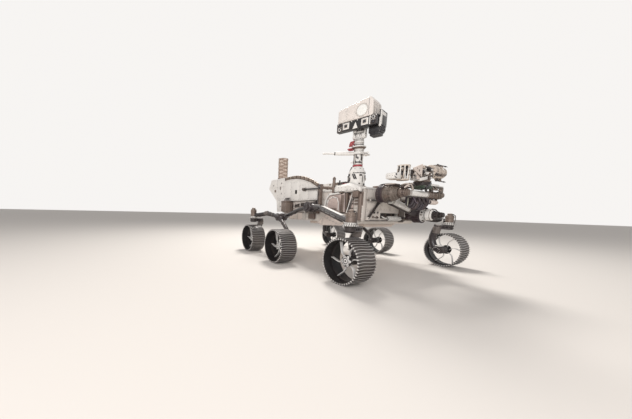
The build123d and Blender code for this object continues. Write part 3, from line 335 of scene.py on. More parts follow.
tooth = 360.0 / GROUSERS
tooth_line = [(-tooth / 2, 0.0), (-1.5, 0.0), (-0.75, GROUSER), (0.75, GROUSER), (1.5, 0.0), (tooth / 2,
    0.0)]
root = WHEEL_TIP - GROUSER
bright_from = (root + GROUSER / 2) / 1000
for wheel, (station, reach, hand) in WHEELS.items():
    sector = bmesh.new()
    edges = chain(sector, [wheel_point(root + rise, turn, -WHEEL_HALF) for turn, rise in tooth_line])[1]
    for step in range(TREAD_STEPS):
        grown = bmesh.ops.extrude_edge_only(sector, edges=edges)["geom"]
        moved = [item for item in grown if isinstance(item, bmesh.types.BMVert)]
        bmesh.ops.translate(sector, verts=moved, vec=(0, 2 * WHEEL_HALF / TREAD_STEPS, 0))
        share = (step + 1) / TREAD_STEPS
        drift_turn = TREAD_WAVE * sin(tau * share) - TREAD_WAVE * sin(tau * (share - 1 / TREAD_STEPS))
        bmesh.ops.rotate(sector, verts=moved, cent=(0, 0, 0), matrix=Matrix.Rotation(radians(drift_turn), 3,
            "Y"))
        edges = [item for item in grown if isinstance(item, bmesh.types.BMEdge) and all(
            vert in moved for vert in item.verts)]
    # Grouser tips take a bright finish, partly wear and partly painted highlight.
    for face in sector.faces:
        high = all(vert.co.xz.length > bright_from for vert in face.verts)
        face.material_index = TIP_FINISH if high else SKIN_FINISH
    ends = [edge for edge in sector.edges if edge.is_boundary and abs(edge.verts[0].co.y) > WHEEL_HALF - 1e-5
            and abs(edge.verts[1].co.y - edge.verts[0].co.y) < 1e-6]
    lips = []
    for side in (-1, 1):
        for wall_y, wall_r in ((WHEEL_HALF, root - LIP), (WHEEL_HALF - LIP_WIDTH, root - LIP),
                               (WHEEL_HALF - LIP_WIDTH, root - SKIN)):
            lips.append(chain(sector, [wheel_point(wall_r, turn, side * wall_y) for turn,
                _ in tooth_line])[1])
    left, right = [e for e in ends if e.verts[0].co.y > 0], [e for e in ends if e.verts[0].co.y < 0]
    order = [right, lips[0], lips[1], lips[2], lips[5], lips[4], lips[3], left]
    # Rims take a bright finish, partly wear and partly painted highlight; the inside of the skin is
    # near-black, painted shade.
    for first, second in zip(order, order[1:]):
        for face in bmesh.ops.bridge_loops(sector, edges=first + second)["faces"]:
            high = max(vert.co.xz.length for vert in face.verts) > bright_from
            face.material_index = INSIDE_SHADE_FINISH if second is lips[5] else RIM_FINISH if high else SKIN_FINISH
    bmesh.ops.spin(sector, geom=sector.verts[:] + sector.edges[:] + sector.faces[:], cent=(0, 0, 0),
                   axis=(0, 1, 0), steps=GROUSERS - 1, angle=tau * (GROUSERS - 1) / GROUSERS,
                   use_duplicate=True)
    bmesh.ops.remove_doubles(sector, verts=sector.verts, dist=2e-5)
    tread = bmesh.new()
    mirrored = Matrix.Scale(hand, 4, (0, 1, 0))
    settle(tread, sector, Matrix.Translation(at(station, hand * reach, AXLE_HEIGHT)) @ mirrored, None)
    piece("tread_" + wheel, tread, "wheel_" + wheel,
          (skin_metal, tip_metal, rim_metal, inside_shade_metal), ["wheel_" + wheel])

# Wheel hubs
# A titanium hub with a lobed flange, six bowed flexure spokes bolted to its lobes, and a dark ring
# that carries the spokes' ends inside the skin. The motor's dark cap shows in the bore.
SPOKES = 6
SPOKE_RING_R = 245.0
SPOKE_RING = 12.0
SPOKE_RING_WIDTH = 30.0
HUB_OUT = 40.0
HUB_FLANGE = 16.0
HUB_NECK_R = 50.0
FLANGE_R, LOBE = 57, 12
SPOKE_BOW = 34.0
SPOKE_POINTS = 16
SPOKE_ROOT_HALF, SPOKE_SPREAD = 24, 15
SPOKE_THICK = 0.0075
SPOKE_FINISH, RING_FINISH, BORE_FINISH = range(3)
X, Y, Z = Vector((1, 0, 0)), Vector((0, 1, 0)), Vector((0, 0, 1))
spoke_metal = finish("spoke_titanium", (0.86, 0.85, 0.84), 0.36, 0.3, dust=0.08, painted_shade=0.7, relief=0.05)
ring_metal = finish("spoke_ring", (0.016, 0.015, 0.017), 0.45, 0.3, dust=0.12)
bore_metal = finish("bore_cap", (0.010, 0.009, 0.011), 0.4, 0.4, dust=0.1, wear_and_highlight_colour=(0.22, 0.21, 0.21))


def mm(x, y, z):
    """A step in metres, from millimetres."""
    return Vector((x / 1000, y / 1000, z / 1000))


def spot(place):
    """A place in metres; plain numbers are read as station, side and height in millimetres."""
    return place if isinstance(place, Vector) else at(*place)


def pointed(way):
    """The turn that brings the Z axis to a way."""
    return Vector(way).to_track_quat("Z", "Y").to_matrix().to_4x4()


def turned(shape, start, way, profile, look=0, steps=32):
    """A turned part along a way; the profile lists the distance from its start and the radius."""
    part = bmesh.new()
    verts, edges = chain(part, [(radius / 1000, 0, reach / 1000) for reach, radius in profile])
    bmesh.ops.spin(part, geom=verts + edges, axis=(0, 0, 1), cent=(0, 0, 0), steps=steps, angle=tau,
        use_merge=True)
    bmesh.ops.remove_doubles(part, verts=part.verts, dist=1e-6)
    settle(shape, part, Matrix.Translation(spot(start)) @ pointed(way), look)


def bar(shape, start, end, radius, look=0, steps=24, ease=1.5):
    """A round bar with eased ends."""
    run = spot(end) - spot(start)
    length = run.length * 1000
    ease = min(ease, length / 3, radius / 3)
    turned(shape, start, run, [(0, 0), (0, radius - ease), (ease, radius), (length - ease, radius),
                               (length, radius - ease), (length, 0)], look, steps)


def slab(shape, low, high, ease=2.0, look=0, turn=Matrix()):
    """A block between two corners, with eased edges, turned about its own middle."""
    low, high = spot(low), spot(high)
    part = bmesh.new()
    bmesh.ops.create_cube(part, size=1)
    size = Vector([abs(h - l) for l, h in zip(low, high)])
    bmesh.ops.scale(part, vec=size, verts=part.verts)
    bmesh.ops.bevel(part, geom=part.edges[:], offset=min(ease / 1000, min(size) / 3), offset_type="OFFSET",
                    segments=2, profile=0.5, affect="EDGES", clamp_overlap=True, material=-1)
    settle(shape, part, Matrix.Translation((low + high) / 2) @ turn, look)


def chip(shape, middle, size, ease=2.0, look=0, turn=Matrix()):
    """A block given by its middle and its size in millimetres."""
    half = mm(*size) / 2
    slab(shape, spot(middle) - half, spot(middle) + half, ease, look, turn)


def studs(shape, places, way, radius, height, look=0):
    """Six-sided bolt heads that stand on a face."""
    for place in places:
        part = bmesh.new()
        bmesh.ops.create_cone(part, cap_ends=True, segments=6, radius1=radius / 1000,
                              radius2=radius * 0.86 / 1000, depth=height / 1000)
        settle(shape, part, Matrix.Translation(spot(place) + way * height / 2000) @ pointed(way), look)


def ring(middle, radius, count, axis="Z", first=0.0):
    """Places in a ring round a middle, across an axis, from a first angle in degrees."""
    places = []
    for n in range(count):
        angle = tau * n / count + radians(first)
        one, two = radius * cos(angle), radius * sin(angle)
        places.append(spot(middle) + mm(*{"X": (0, one, two), "Y": (one, 0, two), "Z": (one, two, 0)}[axis]))
    return places


def fins(shape, middle, radius, count, size, ease, looks, axis="Z", first=0.0):
    """Blocks in a ring, each turned to face outwards, in a run of finishes."""
    for n, place in enumerate(ring(middle, radius, count, axis, first)):
        angle = tau * n / count + radians(first)
        chip(shape, place, size, ease, looks[n % len(looks)],
            Matrix.Rotation(-angle if axis == "Y" else angle, 4, axis))


def pull(part, faces, step):
    """Extrudes faces along a step."""
    grown = bmesh.ops.extrude_face_region(part, geom=faces)["geom"]
    bmesh.ops.translate(part, verts=[item for item in grown if isinstance(item, bmesh.types.BMVert)],
        vec=step)


for wheel, (station, reach, hand) in WHEELS.items():
    hub = bmesh.new()
    flange = bmesh.new()
    bmesh.ops.create_circle(flange, cap_ends=True, segments=72, radius=1)
    for vert in flange.verts:
        turn = vert.co.xy.angle_signed(Vector((1, 0)), 0)
        vert.co = vert.co * (FLANGE_R + LOBE * cos(SPOKES * turn)) / 1000
    pull(flange, flange.faces[:], (0, 0, HUB_FLANGE / 1000))
    front = max(flange.faces, key=lambda face: face.calc_center_median().z)
    bmesh.ops.inset_region(flange, faces=[front], thickness=0.004, depth=0.003)
    settle(hub, flange, Matrix.Translation(mm(0, HUB_FLANGE + 3 - HUB_OUT, 0)) @ Matrix.Rotation(radians(90),
        4, "X"),
           SPOKE_FINISH)
    inner_r = SPOKE_RING_R - SPOKE_RING
    for side, way, profile, look, steps in (
            (HUB_FLANGE - HUB_OUT, Y, [
                (0, 0), (0, HUB_NECK_R - 3), (8, HUB_NECK_R), (38, HUB_NECK_R), (44, HUB_NECK_R - 4),
                (44, 0)],
             RING_FINISH, 32),
            (HUB_FLANGE + 4 - HUB_OUT, -Y, [(0, 0), (0, 68), (2, 70), (3.5, 70), (3.5, 0)], RING_FINISH, 48),
            (1 - HUB_OUT, -Y, [
                (0, 0), (0, 36), (4.5, 35), (4.5, 28), (-2, 26), (-2, 12), (4, 11), (6, 8), (6, 0)],
                BORE_FINISH, 36),
            (1 - HUB_OUT, -Y, [(0, 37), (3.5, 37), (5.5, 39), (3.5, 43), (0, 43), (0, 37)], SPOKE_FINISH,
            36)):
        turned(hub, mm(0, side, 0), way, profile, look, steps)
    for step in (-9, 9):
        studs(hub, ring(mm(0, -HUB_OUT, 0), 52, SPOKES, "Y", step), -Y, 4.5, 4, BORE_FINISH)
    turned(hub, mm(0, -SPOKE_RING_WIDTH / 2, 0), Y, [
        (0, inner_r), (0, SPOKE_RING_R), (SPOKE_RING_WIDTH, SPOKE_RING_R), (SPOKE_RING_WIDTH, inner_r),
        (0, inner_r)], RING_FINISH, 72)
    run = inner_r - HUB_NECK_R
    for turn in range(SPOKES):
        spoke = bmesh.new()
        line = []
        for point in range(SPOKE_POINTS + 1):
            share = point / SPOKE_POINTS
            bow = SPOKE_BOW * (sin(pi * share ** 0.85) + 0.16 * sin(tau * share))
            line.append(((HUB_NECK_R - 8 + (run + 12) * share) / 1000, -0.5, bow / 1000))
        grown = bmesh.ops.extrude_edge_only(spoke, edges=chain(spoke, line)[1])["geom"]
        bmesh.ops.translate(spoke, verts=[item for item in grown if isinstance(item, bmesh.types.BMVert)],
                            vec=(0, 1, 0))
        for vert in spoke.verts:
            share = (vert.co.x * 1000 - HUB_NECK_R) / run
            vert.co.y *= (SPOKE_ROOT_HALF + SPOKE_SPREAD * max(share, 0)) / 1000
        bmesh.ops.recalc_face_normals(spoke, faces=spoke.faces)
        bmesh.ops.solidify(spoke, geom=spoke.faces[:], thickness=SPOKE_THICK)
        studs(spoke, [mm(HUB_NECK_R + run - 10, side, 4) for side in (-11, 11)], Z, 4, 4)
        settle(hub, spoke, Matrix.Rotation(tau * turn / SPOKES, 4, "Y"), SPOKE_FINISH)
    hub_piece = bmesh.new()
    mirrored = Matrix.Scale(-hand, 4, (0, 1, 0))
    settle(hub_piece, hub, Matrix.Translation(at(station, hand * reach, AXLE_HEIGHT)) @ mirrored, None)
    piece("hub_and_spokes_" + wheel, hub_piece, "wheel_" + wheel,
          (spoke_metal, ring_metal, bore_metal), ["hub_" + wheel])

# Steering legs
# Each steered wheel hangs from a bent forged leg: a ribbed top bar under the steering actuator, a
# grey cuff, a broad dark strut and the drive motor in the hub. The cable runs down the strut.
MOTOR_IN = 250.0
LEG_IN = 205.0
LEG_BACK = 118.0
LEG_TOP = 655.0
LEG_BAR = 70.0
KNUCKLE_R = 66.0
CUFF_R = 50.0
CABLE_R = 5.0
LEG_FINISH, CUFF_FINISH, MOTOR_FINISH, LINK_FINISH, CABLE_FINISH = range(5)
leg_paint = finish("dark_leg", (0.016, 0.011, 0.016), 0.34, 0.2, dust=0.13, painted_shade=0.4, wear_and_highlight_colour=(0.17, 0.14,
    0.15),
                   coat=0.4)
cuff_paint = finish("grey_cuff", (0.145, 0.128, 0.122), 0.45, 0.3, dust=0.35, wear_and_highlight_colour=(0.38, 0.35, 0.33))
motor_paint = finish("motor_shell", (0.016, 0.013, 0.015), 0.42, 0.3, dust=0.15, wear_and_highlight_colour=(0.22, 0.19, 0.19))
white_paint = finish("white_paint", (0.88, 0.865, 0.835), 0.42, dust=0.18, painted_shade=0.6, wear_and_highlight_colour=(0.94, 0.93,
    0.91))
cable_wrap = finish("cable_wrap", (0.036, 0.029, 0.030), 0.6, dust=0.3)


def tubing(shape, points, radius, look=0, order=4, sides=8, swell=None):
    """A tube whose line is drawn smoothly near the given places."""
    route = bpy.data.curves.new("route", "CURVE")
    route.dimensions = "3D"
    route.bevel_depth = radius / 1000
    route.bevel_resolution = max(sides // 4 - 1, 0)
    route.resolution_u = 6
    route.use_fill_caps = True
    spline = route.splines.new("NURBS")
    spline.points.add(len(points) - 1)
    for n, (point, place) in enumerate(zip(spline.points, points)):
        point.co = (*spot(place), 1)
        point.radius = swell[n] if swell else 1
    spline.order_u = order
    spline.use_endpoint_u = True
    holder = bpy.data.objects.new("route", route)
    mesh = bpy.data.meshes.new_from_object(holder)
    part = bmesh.new()
    part.from_mesh(mesh)
    bmesh.ops.remove_doubles(part, verts=part.verts, dist=1e-6)
    bpy.data.objects.remove(holder)
    bpy.data.curves.remove(route)
    bpy.data.meshes.remove(mesh)
    settle(shape, part, look=look)


def eased(points, bend):
    """The places of a bent tube with two more near each corner, so that only the corners round off."""
    places = [points[0]]
    for before, corner, after in zip(points, points[1:], points[2:]):
        places.append(corner + (before - corner).normalized() * bend / 1000)
        places.append(corner)
        places.append(corner + (after - corner).normalized() * bend / 1000)
    return places + [points[-1]]


def drive_motor(shape, station, side, look, bolt_look):
    """Drive motor of a right-hand wheel, from its inner cap to the hub."""
    start = at(station, -side + MOTOR_IN, AXLE_HEIGHT)
    length = MOTOR_IN - 20.5
    turned(shape, start, -Y, [
        (0, 0), (0, 30), (6, 34), (10, 34), (12, 44), (30, 46), (34, 52), (60, 52), (62, 56), (70, 56),
        (72, 50), (104, 50), (106, 55), (120, 55), (122, 48), (150, 47), (154, 54), (166, 54), (170, 46),
        (length, 46), (length, 0)], look)
    # These bolts stand 65 mm inboard of the inner cap and don't touch it.
    studs(shape, ring(start + mm(0, 65, 0), 49, 12, "Y"), -Y, 4, 3, bolt_look)


def leg_shape(station, side):
    """Right-hand leg with its motor and cable."""
    shape = bmesh.new()
    line = -side + LEG_IN
    back = station - LEG_BACK / 2
    low = LEG_TOP - LEG_BAR
    turned(shape, (station, -side, low), Z, [
        (0, 0), (0, 40), (-4, 44), (4, 60), (12, KNUCKLE_R), (24, KNUCKLE_R), (27, 61), (40, 61),
        (43, KNUCKLE_R), (66, KNUCKLE_R), (70, 62), (70, 0)], MOTOR_FINISH)
    studs(shape, ring((station, -side, low - 1), 55, 8), -Z, 5, 4, CUFF_FINISH)
    across = at(back, line, 0) - at(station, -side, 0)
    turn = Matrix.Rotation(across.xy.angle_signed(Vector((1, 0))), 4, "Z")
    middle = (at(station, -side, 0) + at(back, line, 0)) / 2
    for bottom, top, breadth in ((low + 4, low + 20, 112), (low + 18, LEG_TOP - 20, 72),
                                 (LEG_TOP - 22, LEG_TOP - 3, 116)):
        chip(shape, middle + mm(0, 0, (bottom + top) / 2), (across.length * 1000, breadth, top - bottom), 3,
             LEG_FINISH, turn)
    for share in (-0.45, -0.15, 0.15, 0.45):
        chip(shape, middle + across * share + mm(0, 0, (low + LEG_TOP + 3) / 2), (8, 98, LEG_BAR - 13), 1.5,
             LEG_FINISH, turn)
    strut = [(back, LEG_TOP - 6), (station - 0.85 * LEG_BACK, low - 60), (station - LEG_BACK, low - 140),
             (station - 0.9 * LEG_BACK, low - 225), (station - 0.5 * LEG_BACK, AXLE_HEIGHT + 20),
             (station, AXLE_HEIGHT)]
    tubing(shape, [(x, line, z) for x, z in strut], 44, LEG_FINISH, 4, 20, (1.12, 1.16, 1.14, 1.1, 1.12,
        1.16))
    turned(shape, (back, line, LEG_TOP), at(back - 18, line, low - 60) - at(back, line, LEG_TOP), [
        (0, 0), (0, 40), (4, CUFF_R - 4), (30, CUFF_R - 2), (34, CUFF_R + 4), (88, CUFF_R + 6),
        (92, CUFF_R + 3), (128, CUFF_R + 5), (131, CUFF_R - 2), (131, 0)], CUFF_FINISH)
    edge = [(x - 48 + 26 * step / 5, line - 30, z) for step, (x, z) in enumerate(strut[1:])]
    tubing(shape, [(station, -side + 60, LEG_TOP - 12)] + edge, CABLE_R + 1, LINK_FINISH, 3)
    tubing(shape, [(x + 46, line + 22, z + 12) for x, z in strut[1:5]], CABLE_R, CABLE_FINISH, 3)
    # Clamps on the cable; the upper one is there twice, in one place.
    for x, z in (strut[3], strut[3], strut[4]):
        slab(shape, (x - 52, line - 36, z - 5), (x - 30, line - 20, z + 5), 1.5, LINK_FINISH)
    slab(shape, (station - 46, line - 12, AXLE_HEIGHT + 62), (station + 10, line + 40, AXLE_HEIGHT + 78), 3,
         LINK_FINISH)
    drive_motor(shape, station, side, MOTOR_FINISH, LINK_FINISH)
    return shape


def handed(shape, hand):
    """A finished right-hand shape, or its mirror image for the left side."""
    if hand < 0:
        return shape
    bmesh.ops.scale(shape, vec=(1, -1, 1), verts=shape.verts)
    bmesh.ops.reverse_faces(shape, faces=shape.faces)
    return shape


for wheel, (station, reach, hand) in WHEELS.items():
    if not wheel.startswith("middle"):
        piece("bent_leg_" + wheel, handed(leg_shape(station, reach), hand), "leg_" + wheel,
              (leg_paint, cuff_paint, motor_paint, white_paint, cable_wrap), ["leg_" + wheel])

# Steering actuators
# Bronze-coloured gearmotors that stand on each corner's collar: a pale flange with dark index marks,
# a ribbed barrel with two clamp bands, and a small cap with its connector.
STEER_FLANGE_R = 90.0
STEER_FLANGE = 12.0
STEER_R = 48.0
STEER_CAP_R = 34.0
STEER_CAP = 30.0
STEER_FOOT = LEG_TOP + 0.5
COLLAR_RISE = 97.5
HOUSING_FINISH, FLANGE_FINISH, MARK_FINISH, LEAD_FINISH = range(4)
bronze_paint = finish("bronze_housing", (0.150, 0.112, 0.094), 0.42, 0.3, dust=0.5, painted_shade=0.8, grain=110.0,
                      wear_and_highlight_colour=(0.42, 0.36, 0.31), relief=0.3)
black_mark = finish("black_mark", (0.008, 0.007, 0.009), 0.5, dust=0.1, wear_and_highlight_colour=(0.16, 0.15, 0.15))
steering = bmesh.new()
for station, top in ((FRONT_AXLE, 835.0), (REAR_AXLE, 860.0)):
    for hand in (-1, 1):
        foot, head = at(station, hand * CORNER_TRACK, STEER_FOOT), at(station, hand * CORNER_TRACK, top)
        tall = top - STEER_FOOT
        turned(steering, foot, Z, [
            (0, 0), (0, STEER_FLANGE_R - 3), (3, STEER_FLANGE_R), (STEER_FLANGE - 1, STEER_FLANGE_R),
            (STEER_FLANGE, STEER_FLANGE_R - 2), (STEER_FLANGE, STEER_R + 14), (STEER_FLANGE, STEER_R - 1),
            (STEER_FLANGE, 0)], FLANGE_FINISH, 48)
        fins(steering, foot + mm(0, 0, 6.5), 89.5, 24, (4.4, 11, 9), 0.6, (MARK_FINISH,))
        turned(steering, foot, Z, [
            (STEER_FLANGE, 0), (STEER_FLANGE, STEER_R), (COLLAR_RISE, STEER_R), (COLLAR_RISE + 1,
            STEER_R + 7),
            (COLLAR_RISE + 3, STEER_R + 9), (tall - STEER_CAP - 26, STEER_R + 9), (tall - STEER_CAP - 23,
            STEER_R + 6),
            (tall - STEER_CAP - 4, STEER_R + 6), (tall - STEER_CAP, STEER_R + 2),
            (tall - STEER_CAP, STEER_CAP_R), (tall - 6, STEER_CAP_R), (tall, STEER_CAP_R - 8), (tall, 0)],
               HOUSING_FINISH, 40)
        fins(steering, foot + mm(0, 0, tall * 0.68), 56.5, 12, (8, 6, tall * 0.14), 0.8, (HOUSING_FINISH,),
            "Z", 15)
        plug = head + mm(20, 0, -18)
        bar(steering, plug, plug + mm(28, 0, 0), 9, MARK_FINISH, 16)
        tubing(steering, [plug + mm(26, 0, 0), plug + mm(50, 0, -4), plug + mm(58, 0, -50), foot + mm(74, 0,
            50),
                          foot + mm(72, 0, 12)], CABLE_R, LEAD_FINISH, 3)
piece("steering_gearmotors", steering, "chassis", (bronze_paint, white_paint, black_mark,
    cable_wrap),
      ["steering_actuators"])

# Rockers
# Titanium arms: a glossy dark front tube under white top strips, painted highlight for the light on its top,
# to the front corner's white collar, a dark rear tube down to the bogie pivot, and a chunky dark pivot with
# a bolted cap.
ROCKER_PIVOT = (150.0, 700.0, 880.0)
ROCKER_HUB_R = 82.0
ROCKER_HUB_LENGTH = 150.0
ROCKER_R = 36.0
COLLAR_R = 72.0
COLLAR_LOW = 668.0
ARM_END = 710.0
BOGIE_PIVOT = (-500.0, 870.0, 700.0)
BOGIE_HUB_R = 68.0
BOGIE_R = 34.0
HANDS = (("right", -1), ("left", 1))
gloss_dark = finish("gloss_dark_tube", (0.016, 0.012, 0.015), 0.24, 0.3, dust=0.12, painted_shade=0.4,
                    wear_and_highlight_colour=(0.30, 0.27, 0.26), coat=0.6)


def collar(shape, station, look, mark, barrel):
    """Collar that holds a steering actuator, with its bolts and its dark index marks."""
    foot = at(station, -CORNER_TRACK, COLLAR_LOW)
    turned(shape, foot, Z, [(0, 49), (0, COLLAR_R - 2), (2, COLLAR_R), (24, COLLAR_R), (26, COLLAR_R - 2),
                            (26, 49), (0, 49)], look, 48)
    turned(shape, foot, Z, [(25, 49), (25, COLLAR_R - 14), (80, COLLAR_R - 15), (84, COLLAR_R - 17),
                            (84, 49), (25, 49)], barrel, 48)
    studs(shape, ring(foot + mm(0, 0, 25.5), 64, 12), Z, 4.5, 5, mark)
    fins(shape, foot + mm(0, 0, 13.5), 71.5, 18, (4, 12, 14), 1, (mark,))


def clamps(shape, start, end, shares, radius, look, width=14.0):
    """Clamp bands round a straight run of tube."""
    for share in shares:
        turned(shape, start.lerp(end, share), end - start, [
            (0, 0), (0, radius), (2, radius + 3), (width - 2, radius + 3), (width, radius), (width, 0)],
            look, 24)


def top_highlight_strip(shape, start, end, breadth, thick, above, look):
    """A white strip along the top of a tube, painted highlight for the light on its top, in millimetres
    above the tube's own line.
    """
    turn = pointed(end - start)
    rise = (turn @ Y).normalized() * above / 1000
    chip(shape, (start + end) / 2 + rise, (breadth, thick, (end - start).length * 1000), thick / 4, look,
        turn)


def rocker_shape():
    """The right rocker."""
    shape = bmesh.new()
    x, y, z = ROCKER_PIVOT
    mid = -y - ROCKER_HUB_LENGTH / 2
    turned(shape, (x, -600, z), -Y, [
        (0, 0), (0, 62), (8, 62), (12, 40), (92, 40), (96, 58), (100, ROCKER_HUB_R - 6), (104, ROCKER_HUB_R),
        (122, ROCKER_HUB_R), (125, ROCKER_HUB_R - 6), (205, ROCKER_HUB_R - 8), (208, ROCKER_HUB_R),
        (244, ROCKER_HUB_R), (250, ROCKER_HUB_R - 5), (250, 58), (252, 52), (270, 50), (274, 44), (274, 22),
        (268, 20), (268, 0)], 0, 48)
    studs(shape, ring((x, -y - ROCKER_HUB_LENGTH, z), 67, 12, "Y"), -Y, 5.5, 5, 1)
    fins(shape, (x, mid, z), 78, 8, (10, 76, 18), 1.5, (3,), "Y", 22.5)
    front = [at(x, mid, z), at(x + 260, mid - 20, z - 10), at(1100, -1070, ARM_END + 20),
             at(FRONT_AXLE, -CORNER_TRACK, ARM_END)]
    rear = [at(x, mid, z), at(x - 260, mid - 15, z - 45), at(-500, -818, 700)]
    tubing(shape, eased(front[:3], 60) + [front[3]], ROCKER_R, 1, 3, 24)
    tubing(shape, eased(rear, 60), ROCKER_R, 1, 3, 24)
    for start, end in ((front[1], front[2]), (rear[2], rear[1])):
        turned(shape, start, end - start, [
            (0, 0), (0, 42), (4, 46), (70, 46), (74, 42), (88, 40), (90, 36), (90, 0)], 1)
    for line in (front, rear):
        turned(shape, line[0], line[1] - line[0], [
            (66, 0), (66, 54), (96, 50), (110, 44), (126, 40), (130, 36), (130, 0)])
    # White strips along the front tube's top: painted highlight.
    top_highlight_strip(shape, front[1].lerp(front[2], 0.06), front[1].lerp(front[2], 0.96), 46, 8, ROCKER_R, 2)
    top_highlight_strip(shape, front[0].lerp(front[1], 0.42), front[1], 40, 8, ROCKER_R + 1, 2)
    clamps(shape, front[1], front[2], (0.3, 0.55, 0.8), 36, 4, 9)
    clamps(shape, rear[1], rear[2], (0.25, 0.5), 36, 0)
    run = front[2] - front[1]
    for drop, across, thick in ((-44, 4, 8.5), (-36, 26, 7), (-38, -22, 6)):
        aside = mm(0, across, drop)
        tubing(shape, [front[0] + mm(70, 0, -45), front[1] + aside * 1.1, front[1] + run * 0.35 + aside,
                       front[1] + run * 0.7 + aside, front[2] + aside, front[2] + mm(90, -20, -20)], thick,
                       5, 3)
    turned(shape, (-500, -786, 700), -Y, [
        (0, 0), (0, 52), (6, 60), (12, BOGIE_HUB_R), (30, BOGIE_HUB_R), (34, 63), (58, 63),
        (62, BOGIE_HUB_R), (84, BOGIE_HUB_R), (84, 0)], 0, 40)
    collar(shape, FRONT_AXLE, 2, 4, 6)
    slab(shape, (227, mid - 20, 850), (297, -660, 910), 5)
    studs(shape, [(xs, mid - 20, zs) for xs in (240, 284) for zs in (862, 898)], -Y, 6, 5, 3)
    slab(shape, (1120, -1096, 690), (1192, -1058, 740), 6, 2)
    return shape


for name, hand in HANDS:
    piece("rocker_arm_" + name, handed(rocker_shape(), hand), "chassis",
          (leg_paint, gloss_dark, white_paint, cuff_paint, black_mark, cable_wrap, bronze_paint),
          ["rocker_" + name])

# Bogies
# The rear pair of wheels on each side hangs from a bogie: a capped hub, a dark arm back to the rear
# corner's grey collar and a dark arm forward and down to the middle wheel's motor.
BOGIE_SIDE = -925.25


def bogie_shape():
    """The right bogie with the middle wheel's motor."""
    shape = bmesh.new()
    x, y, z = BOGIE_PIVOT
    turned(shape, (x, -870.5, z), -Y, [
        (0, 0), (0, BOGIE_HUB_R - 2), (3, BOGIE_HUB_R), (20, BOGIE_HUB_R), (24, 62), (80, 60),
        (84, BOGIE_HUB_R), (104, BOGIE_HUB_R), (109.5, BOGIE_HUB_R - 6), (109.5, 46), (112, 44), (122, 42),
        (125.5, 36), (125.5, 0)], 0, 40)
    studs(shape, ring((x, -980, z), 53, 8, "Y"), -Y, 5, 5, 1)
    rear = [at(x, BOGIE_SIDE, z), at(x - 330, BOGIE_SIDE - 40, z + 65), at(-1030, -1080, ARM_END + 15),
            at(REAR_AXLE, -CORNER_TRACK, ARM_END)]
    front = [at(x, BOGIE_SIDE, z), at(x + 300, -970, z - 190), at(-40, -1015, AXLE_HEIGHT + 110),
             at(0, -1015, AXLE_HEIGHT)]
    tubing(shape, eased(rear[:3], 55) + [rear[3]], BOGIE_R, 1, 3, 24)
    tubing(shape, eased(front, 55), BOGIE_R, 1, 3, 24)
    for line in (rear, front):
        turned(shape, line[0], line[1] - line[0], [
            (52, 0), (52, 50), (80, 48), (104, 42), (120, 38), (124, 34), (124, 0)])
    turned(shape, rear[1], rear[2] - rear[1], [(0, 0), (0, 40), (4, 44), (70, 44), (74, 40), (90, 34),
        (90, 0)], 2)
    clamps(shape, rear[0], rear[1], (0.55, 0.8), 34, 2)
    clamps(shape, front[0], front[1], (0.5, 0.75), 34, 2)
    for aside in (mm(0, -20, -36), mm(0, 16, -38)):
        tubing(shape, [rear[0] + mm(-60, 0, -20), rear[1] + aside, (rear[1] + rear[2]) / 2 + aside,
            rear[2] + aside],
               6, 4, 3)
        tubing(shape, [front[0] + mm(60, -20, 0), front[0].lerp(front[1], 0.6) + mm(10, -36, 10),
                       front[1] + mm(10, -36, 8), front[2] + mm(0, -30, 30), front[2] + mm(30, -30, -30)], 6,
                       4, 3)
    collar(shape, REAR_AXLE, 5, 3, 6)
    drive_motor(shape, 0, MIDDLE_TRACK, 0, 3)
    return shape


for name, hand in HANDS:
    piece("bogie_arm_" + name, handed(bogie_shape(), hand), "chassis",
          (leg_paint, gloss_dark, cuff_paint, black_mark, cable_wrap, white_paint, bronze_paint),
          ["bogie_" + name])

# Body
# The warm electronics box: cream-painted aluminium sandwich panels screwed to a frame, with a seam
# every few hundred millimetres, a pinkish belly and a slatted cream and brown corner column.
BODY_FRONT = 1000.0
BODY_HALF = 600.0
DECK_TOP = 1140.0
SKIN_PANEL = 4.0
SCREW = 4.0
cream = (0.76, 0.71, 0.66)
cream_paint = finish("cream_paint", cream, 0.5, dust=0.35, painted_shade=0.85, wear_and_highlight_colour=(0.88, 0.85, 0.81))
pink_paint = finish("pinkish_paint", (0.80, 0.70, 0.635), 0.5, dust=0.18, painted_shade=0.5, wear_and_highlight_colour=(0.88, 0.82, 0.78))
brown_paint = finish("brown_housing", (0.17, 0.125, 0.105), 0.45, 0.2, dust=0.4, painted_shade=0.8, wear_and_highlight_colour=(0.40, 0.34,
    0.29))
steel_screw = finish("screw_heads", (0.33, 0.31, 0.30), 0.35, 0.8, dust=0.2)


def dress(look, *names):
    """Gives CAD nodes a finish."""
    for name in names:
        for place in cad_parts[name].material_slots:
            place.material = look


def screws_round(shape, low, high, way, gap, look, size=SCREW, inset=12.0):
    """Screw heads along the four edges of a flat rectangle that faces a way."""
    low, high = [[pick(pair) for pair in zip(spot(low), spot(high))] for pick in (min, max)]
    axis = max(range(3), key=lambda n: abs(way[n]))
    flat = [n for n in range(3) if n != axis]
    ends = [(low[n] + inset / 1000, high[n] - inset / 1000) for n in flat]
    places = []
    for along, across in ((0, 1), (1, 0)):
        first, last = ends[along]
        count = max(round((last - first) * 1000 / gap), 1)
        for step in range(along, count + 1 - along):
            for other in ends[across]:
                place = Vector()
                place[axis] = high[axis] if way[axis] > 0 else low[axis]
                place[flat[along]] = first + step / count * (last - first)
                place[flat[across]] = other
                places.append(place)
    studs(shape, places, way, size, 2.5, look)


def skin(shape, low, high, way, look, screw_look, gap=90.0):
    """A screwed skin panel, given by its two corners and the way that it faces."""
    slab(shape, low, high, 1.5, look)
    screws_round(shape, low, high, way, gap, screw_look)


